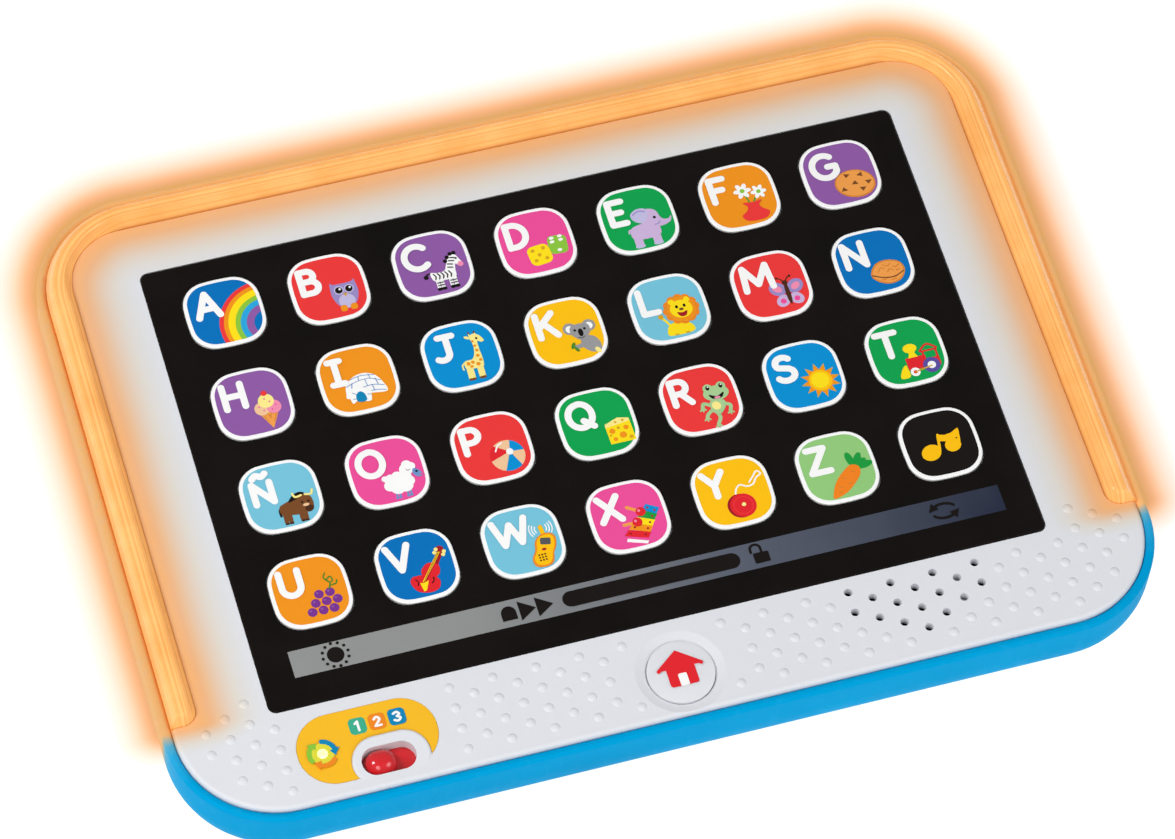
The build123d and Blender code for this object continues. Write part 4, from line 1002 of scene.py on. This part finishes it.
def frame_look():
    """Clear milky plastic lit orange from its groove, with drawn lines along it and painted shade as a dark line at
    the foot of its inner wall.
    """
    look = Look("frame_clear")
    _, edge, height = away_from_frame(look)
    drawn = look.node("TexNoise", noise_dimensions="1D")
    look.wire(edge, drawn.inputs["W"])
    drawn.inputs["Scale"].default_value = 1.1
    drawn.inputs["Detail"].default_value = 4.0
    streak = look.sum("ADD", look.sum("MULTIPLY", drawn.outputs["Fac"], 0.75),
                      look.sum("MULTIPLY", look.noise(90.0, 3.0), 0.25))
    light = look.spread(streak, 0.0, 1.0, 0.36, 0.62)
    # painted shade: darker orange at the foot of the inner wall, in the crease beside the bezel
    inner = look.spread(edge, 0.0, 1.0, -6.3, -6.9)
    low = look.spread(height, 1.0, 0.0, 0.0252, 0.0262)
    tone = look.mix(light, "dd9a4e", "f7c07a")
    look.put("Base Color", look.mix(look.sum("MULTIPLY", inner, low), tone, "b9743a"))
    look.put("Roughness", look.spread(streak, 0.2, 0.34))
    look.put("Emission Color", look.mix(light, "f08a28", "ffa84a"))
    look.put("Emission Strength", 0.24)
    look.put("Subsurface Weight", 0.2)
    look.put("Subsurface Radius", (0.003, 0.0015, 0.0005))
    look.put("Subsurface Scale", 1.0)
    look.put("Specular IOR Level", 0.3)
    look.put("Coat Weight", 0.25)
    look.put("Coat Roughness", 0.12)
    look.bump(streak, 0.12)
    return look.material


def panel_look():
    """Gloss black film with the faintest dust and hairline wear."""
    look = Look("panel_gloss")
    look.put("Base Color", look.mix(look.cloud(60.0), "0b0706", "120d0b"))
    look.gloss(700.0, 0.2, 0.32, 6.0)
    look.put("Specular IOR Level", 0.15)
    look.bump(look.noise(900.0, 3.0), 0.002)
    return look.material


def lamp_look(name, code, strength, glow):
    look = Look(name)
    look.put("Base Color", look.mix(look.cloud(500.0), code, "fff6c8"))
    look.gloss(900.0, 0.2, 0.32)
    look.put("Emission Color", glow)
    look.put("Emission Strength", strength)
    look.bump(look.noise(1800.0), 0.004)
    return look.material


def finish_nodes():
    steel = metal("steel", "c3c5c8")
    black = plastic("moulded_black", "1b1b1d", roughness=0.5, grain=0.02)
    board = plastic("board_green", "1c6b3a", roughness=0.4, grain=0.02, shade=0.8)
    shell = shell_look()
    looks = {
        "front_casing": bezel_look(),
        "rear_casing": shell,
        "light_frame": frame_look(),
        "screen_overlay": panel_look(),
        "control_label": plastic("label_yellow", "fdbf12", roughness=0.36, grain=0.006, coat=0.2),
        "home_button": plastic("button_white", "e3e5ea", roughness=0.36, grain=0.01, soft=0.1),
        "stage_slider": plastic("slider_red", "d9141f", roughness=0.16, grain=0.0, coat=0.6, soft=0.1),
        "power_slider": plastic("power_red", "d9141f", roughness=0.3, grain=0.01),
        "indicator_lens": lamp_look("lens_clear", "f1e85a", 0.85, "fdf7a0"),
        "indicator_led": lamp_look("lamp_chip", "fff0b0", 0.6, "fff0b0"),
        "frame_leds": lamp_look("frame_lamp", "ffd8a0", 0.8, "ffa238"),
        "keypad_membrane": plastic("rubber_grey", "9a9da0", roughness=0.7, grain=0.03, shade=0.88),
        "speaker_cone": plastic("cone_paper", "26262a", roughness=0.8, grain=0.06, shade=0.7),
        "speaker_magnet": metal("magnet", "5b5b5f", 0.45),
        "speaker_wires": plastic("wire_red", "b3161c", roughness=0.45, grain=0.01),
        "battery_wires": plastic("wire_black", "26262a", roughness=0.45, grain=0.01),
        "battery_door": shell,
        "battery_cells": plastic("cell_wrap", "1d7a4c", roughness=0.3, grain=0.004, shade=0.75),
    }
    for material, nodes in (
        (board, "frame_led_strip main_circuit_board"),
        (black, "board_components stage_switch_lever power_switch_lever speaker_clamp"),
        (steel, "stage_switch_body power_switch_body speaker_basket battery_door_screw battery_springs"
                " battery_contacts case_screws board_screws"),
    ):
        looks.update({node: material for node in nodes.split()})
    cap = plastic("key_white", "ffffff", roughness=0.36, grain=0.01, shade=0.98, coat=0.15, soft=0.05)
    looks.update({node: cap for node in KEYS})
    for node, material in looks.items():
        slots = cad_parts[node].data.materials
        for i in range(len(slots)):
            slots[i] = material
        if not slots:
            slots.append(material)
    return looks


# ---- pimples moulded on the bezel ----
PIMPLE_RADIUS = 1.3
PIMPLE_HEIGHT = 0.45
PIMPLE_EDGE = 3.4             # no pimple's middle is nearer than this to the bezel's edge
CORNER_EDGE = 4.0             # and nearer than this in its corners
FRAME_EDGE = 3.0              # and nearer than this to the light frame
PANEL_EDGE = 2.5              # and nearer than this to the panel's sides
BAND_TOP = -56.0
UNDER_PANEL = -64.8
HOLES = dict(zip(range(6, 13), (2, 2, 3, 3, 3, 2, 2)))     # speaker holes in each column


def pimples(material):
    radius, height, rings, around = PIMPLE_RADIUS, PIMPLE_HEIGHT, 4, 18
    sphere = (radius * radius + height * height) / (2 * height)
    vertices, faces = [], []
    for x, y in pimple_places():
        first = len(vertices)
        vertices.append((x, y, FACE_Z + height))
        for ring in range(1, rings + 1):
            r = radius * ring / rings
            z = FACE_Z + height - sphere + sqrt(sphere * sphere - r * r)
            vertices += [(x + px, y + py, z) for px, py in arc(0, 0, r, r, 0, 360 - 360 / around, around - 1)]
        for k in range(around):
            after = (k + 1) % around
            faces.append((first, first + 1 + k, first + 1 + after))
            for ring in range(rings - 1):
                here = first + 1 + ring * around
                faces.append((here + k, here + around + k, here + around + after, here + after))
    dots = new_piece("bezel_pimples", vertices, faces, [material], smooth=True)
    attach(dots, "case")


def pimple_room(side, column, row, x, y):
    """Whether a place of the lattice, at x from the middle, is free for a pimple."""
    out_x = x - (BEZEL_LENGTH / 2 - BEZEL_CORNER)
    out_y = -y - (BEZEL_WIDTH / 2 - BEZEL_CORNER)
    label = side < 0 and 9 <= column <= 15
    speaker = side > 0 and 0 <= row < HOLES.get(column, 0)
    home = column == 0 and 0 < row < 3
    panel = y > UNDER_PANEL and x < PANEL_LENGTH / 2 + PANEL_EDGE or y > BAND_TOP
    foot = y > FRAME_FOOT - FRAME_EDGE and x > BEZEL_LENGTH / 2 - FRAME_WIDTH - FRAME_EDGE
    edge = y < PIMPLE_EDGE - BEZEL_WIDTH / 2 or x > BEZEL_LENGTH / 2 - PIMPLE_EDGE
    corner = out_x > 0 and out_y > 0 and hypot(out_x, out_y) > BEZEL_CORNER - CORNER_EDGE
    return not (label or speaker or home or panel or foot or edge or corner)


def pimple_places():
    """The lattice that the speaker holes also belong to, less what stands in its way."""
    places = []
    for side in (-1, 1):
        for column in range(20):
            x = LATTICE_X + column * LATTICE_PITCH
            shift = LATTICE_STEP / 2 if column % 2 else 0.0
            for row in range(-2, 4):
                y = LATTICE_TOP - shift - row * LATTICE_STEP
                if pimple_room(side, column, row, x, y):
                    places.append((LATTICE_MIDDLE + side * x, y))
    return places


# ---- prints on the panel, the label and the home button ----
BAR_LEFT = -90.7
BAR_RIGHT = 91.0
BAR_LOW = -53.7
BAR_HIGH = -46.4


def bar_look():
    """The bar's ink, from grey at its left end to slate at its right."""
    look = Look("ink_bar")
    length = BAR_RIGHT - BAR_LEFT
    across = look.sum("SUBTRACT", look.sum("DIVIDE", look.axes()["X"], MM), BAR_LEFT)
    shade = look.ramp(across, length, ((0.0, "8f9190"), (45.0, "8d8f8e"), (110.0, "575d6b"), (length, "222a3e")))
    look.put("Base Color", look.mix(look.spread(look.noise(80.0), 0.0, 0.01), shade, "ffffff"))
    look.gloss(300.0, 0.32, 0.42)
    look.put("Specular IOR Level", 0.15)
    look.bump(look.noise(1500.0), 0.003)
    return look.material


def tool_bar():
    """The grey bar along the panel's foot, with its dark signs."""
    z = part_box("screen_overlay")[1][2] / MM
    art = Print("tool_bar", 0.0, 0.0, z)
    ink_looks["bar"] = bar_look()
    art.shape([(BAR_LEFT, BAR_LOW), (BAR_RIGHT, BAR_LOW), (BAR_RIGHT, BAR_HIGH), (BAR_LEFT, BAR_HIGH)], "bar")
    y = (BAR_LOW + BAR_HIGH) / 2
    sun_x = -79.6
    art.disc(sun_x, y, 2.15, "black")
    for turn in range(0, 360, 30):
        art.disc(sun_x + 3.25 * cos(radians(turn + 8)), y + 3.25 * sin(radians(turn + 8)), 0.42, "black")
    art.shape([(-37.9, y - 1.9), (-34.1, y - 1.9), *arc(-36.0, y, 1.9, 2.0, 0, 180, 12)], "black")
    for x in (-33.3, -28.9):
        art.shape([(x, y - 2.7), (x + 4.2, y), (x, y + 2.7)], "black")
    art.line([(-20.2, y), (20.9, y)], 4.3, "black")
    art.box(28.4, y - 0.9, 3.9, 2.9, "black", 0.3)
    art.ribbon([(26.1, y + 0.9), *arc(27.4, y + 1.7, 1.3, 1.2, 180, 0, 10), (28.7, y + 0.4)], 0.62, "black")
    for start in (30, 210):
        route = arc(75.9, y, 3.2, 2.0, start, start + 115, 12)
        art.ribbon(route, 0.7, "black")
        (before_x, before_y), (tip_x, tip_y) = route[-2:]
        lean = atan2(tip_y - before_y, tip_x - before_x)
        art.shape([(tip_x + 1.5 * cos(lean + k), tip_y + 1.5 * sin(lean + k)) for k in (0, 2.2, -2.2)], "black")
    art.finish("case")


TILE_Y = -70.0
RING = 3.2                    # radius of the three arrows round the lamp


def label_print():
    """Three numbered tiles for the slider's places, and a ring of three colours round the lamp."""
    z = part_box("control_label")[1][2] / MM
    art = Print("label_print", 0.0, 0.0, z)
    for x, ink, strokes in (
        (-79.6, "teal", [[(-0.5, 0.7), (0.15, 1.2), (0.15, -1.2)]]),
        (-74.7, "mid_orange", [flowing([(-0.7, 0.7), (0.0, 1.2), (0.7, 0.5), (-0.1, -0.5), (-0.7, -1.2)]),
                               [(-0.7, -1.2), (0.8, -1.2)]]),
        (-69.8, "deep_blue", [flowing([(-0.7, 0.9), (0.1, 1.2), (0.7, 0.6), (0.1, 0.05)]),
                              flowing([(0.0, 0.05), (0.8, -0.5), (0.1, -1.2), (-0.8, -0.9)])]),
    ):
        art.box(x, TILE_Y, 4.2, 4.4, ink, 1.1)
        for stroke in strokes:
            art.line([(x + px, TILE_Y + py) for px, py in stroke], 0.62, "white")
    # painted glow: the lit disc is the lamp's yellow glow painted on the label round its lens
    art.disc(*LAMP, RING - 0.3, "lit")
    for start, ink in ((205, "lime"), (80, "deep_blue"), (318, "mid_orange")):
        art.ribbon(arc(*LAMP, RING, RING, start, start - 72, 12), 1.2, ink)
        base, tip = radians(start - 68), radians(start - 100)
        art.shape([(LAMP[0] + r * cos(turn), LAMP[1] + r * sin(turn))
                   for r, turn in ((RING - 1.3, base), (RING, tip), (RING + 1.3, base))], ink)
    art.finish("case")


def home_sign():
    """A plain red house on the home button, laid over its dome."""
    x, y = HOME
    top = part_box("home_button")[1][2] / MM
    art = Print("home_sign", x, y, top)
    art.box(0.0, -1.2, 7.2, 5.6, "scarlet", 0.7)
    art.shape([(-5.6, 0.9), (5.6, 0.9), (0.0, 5.4)], "scarlet")
    art.ribbon([(-5.4, 1.0), (0.0, 5.2), (5.4, 1.0)], 1.0, "scarlet")
    art.box(0.0, -2.4, 2.2, 3.4, "white", 0.4)
    art.finish("home_button")


camera()
surroundings()
looks = finish_nodes()
floor()
key_faces()
pimples(looks["front_casing"])
tool_bar()
label_print()
home_sign()
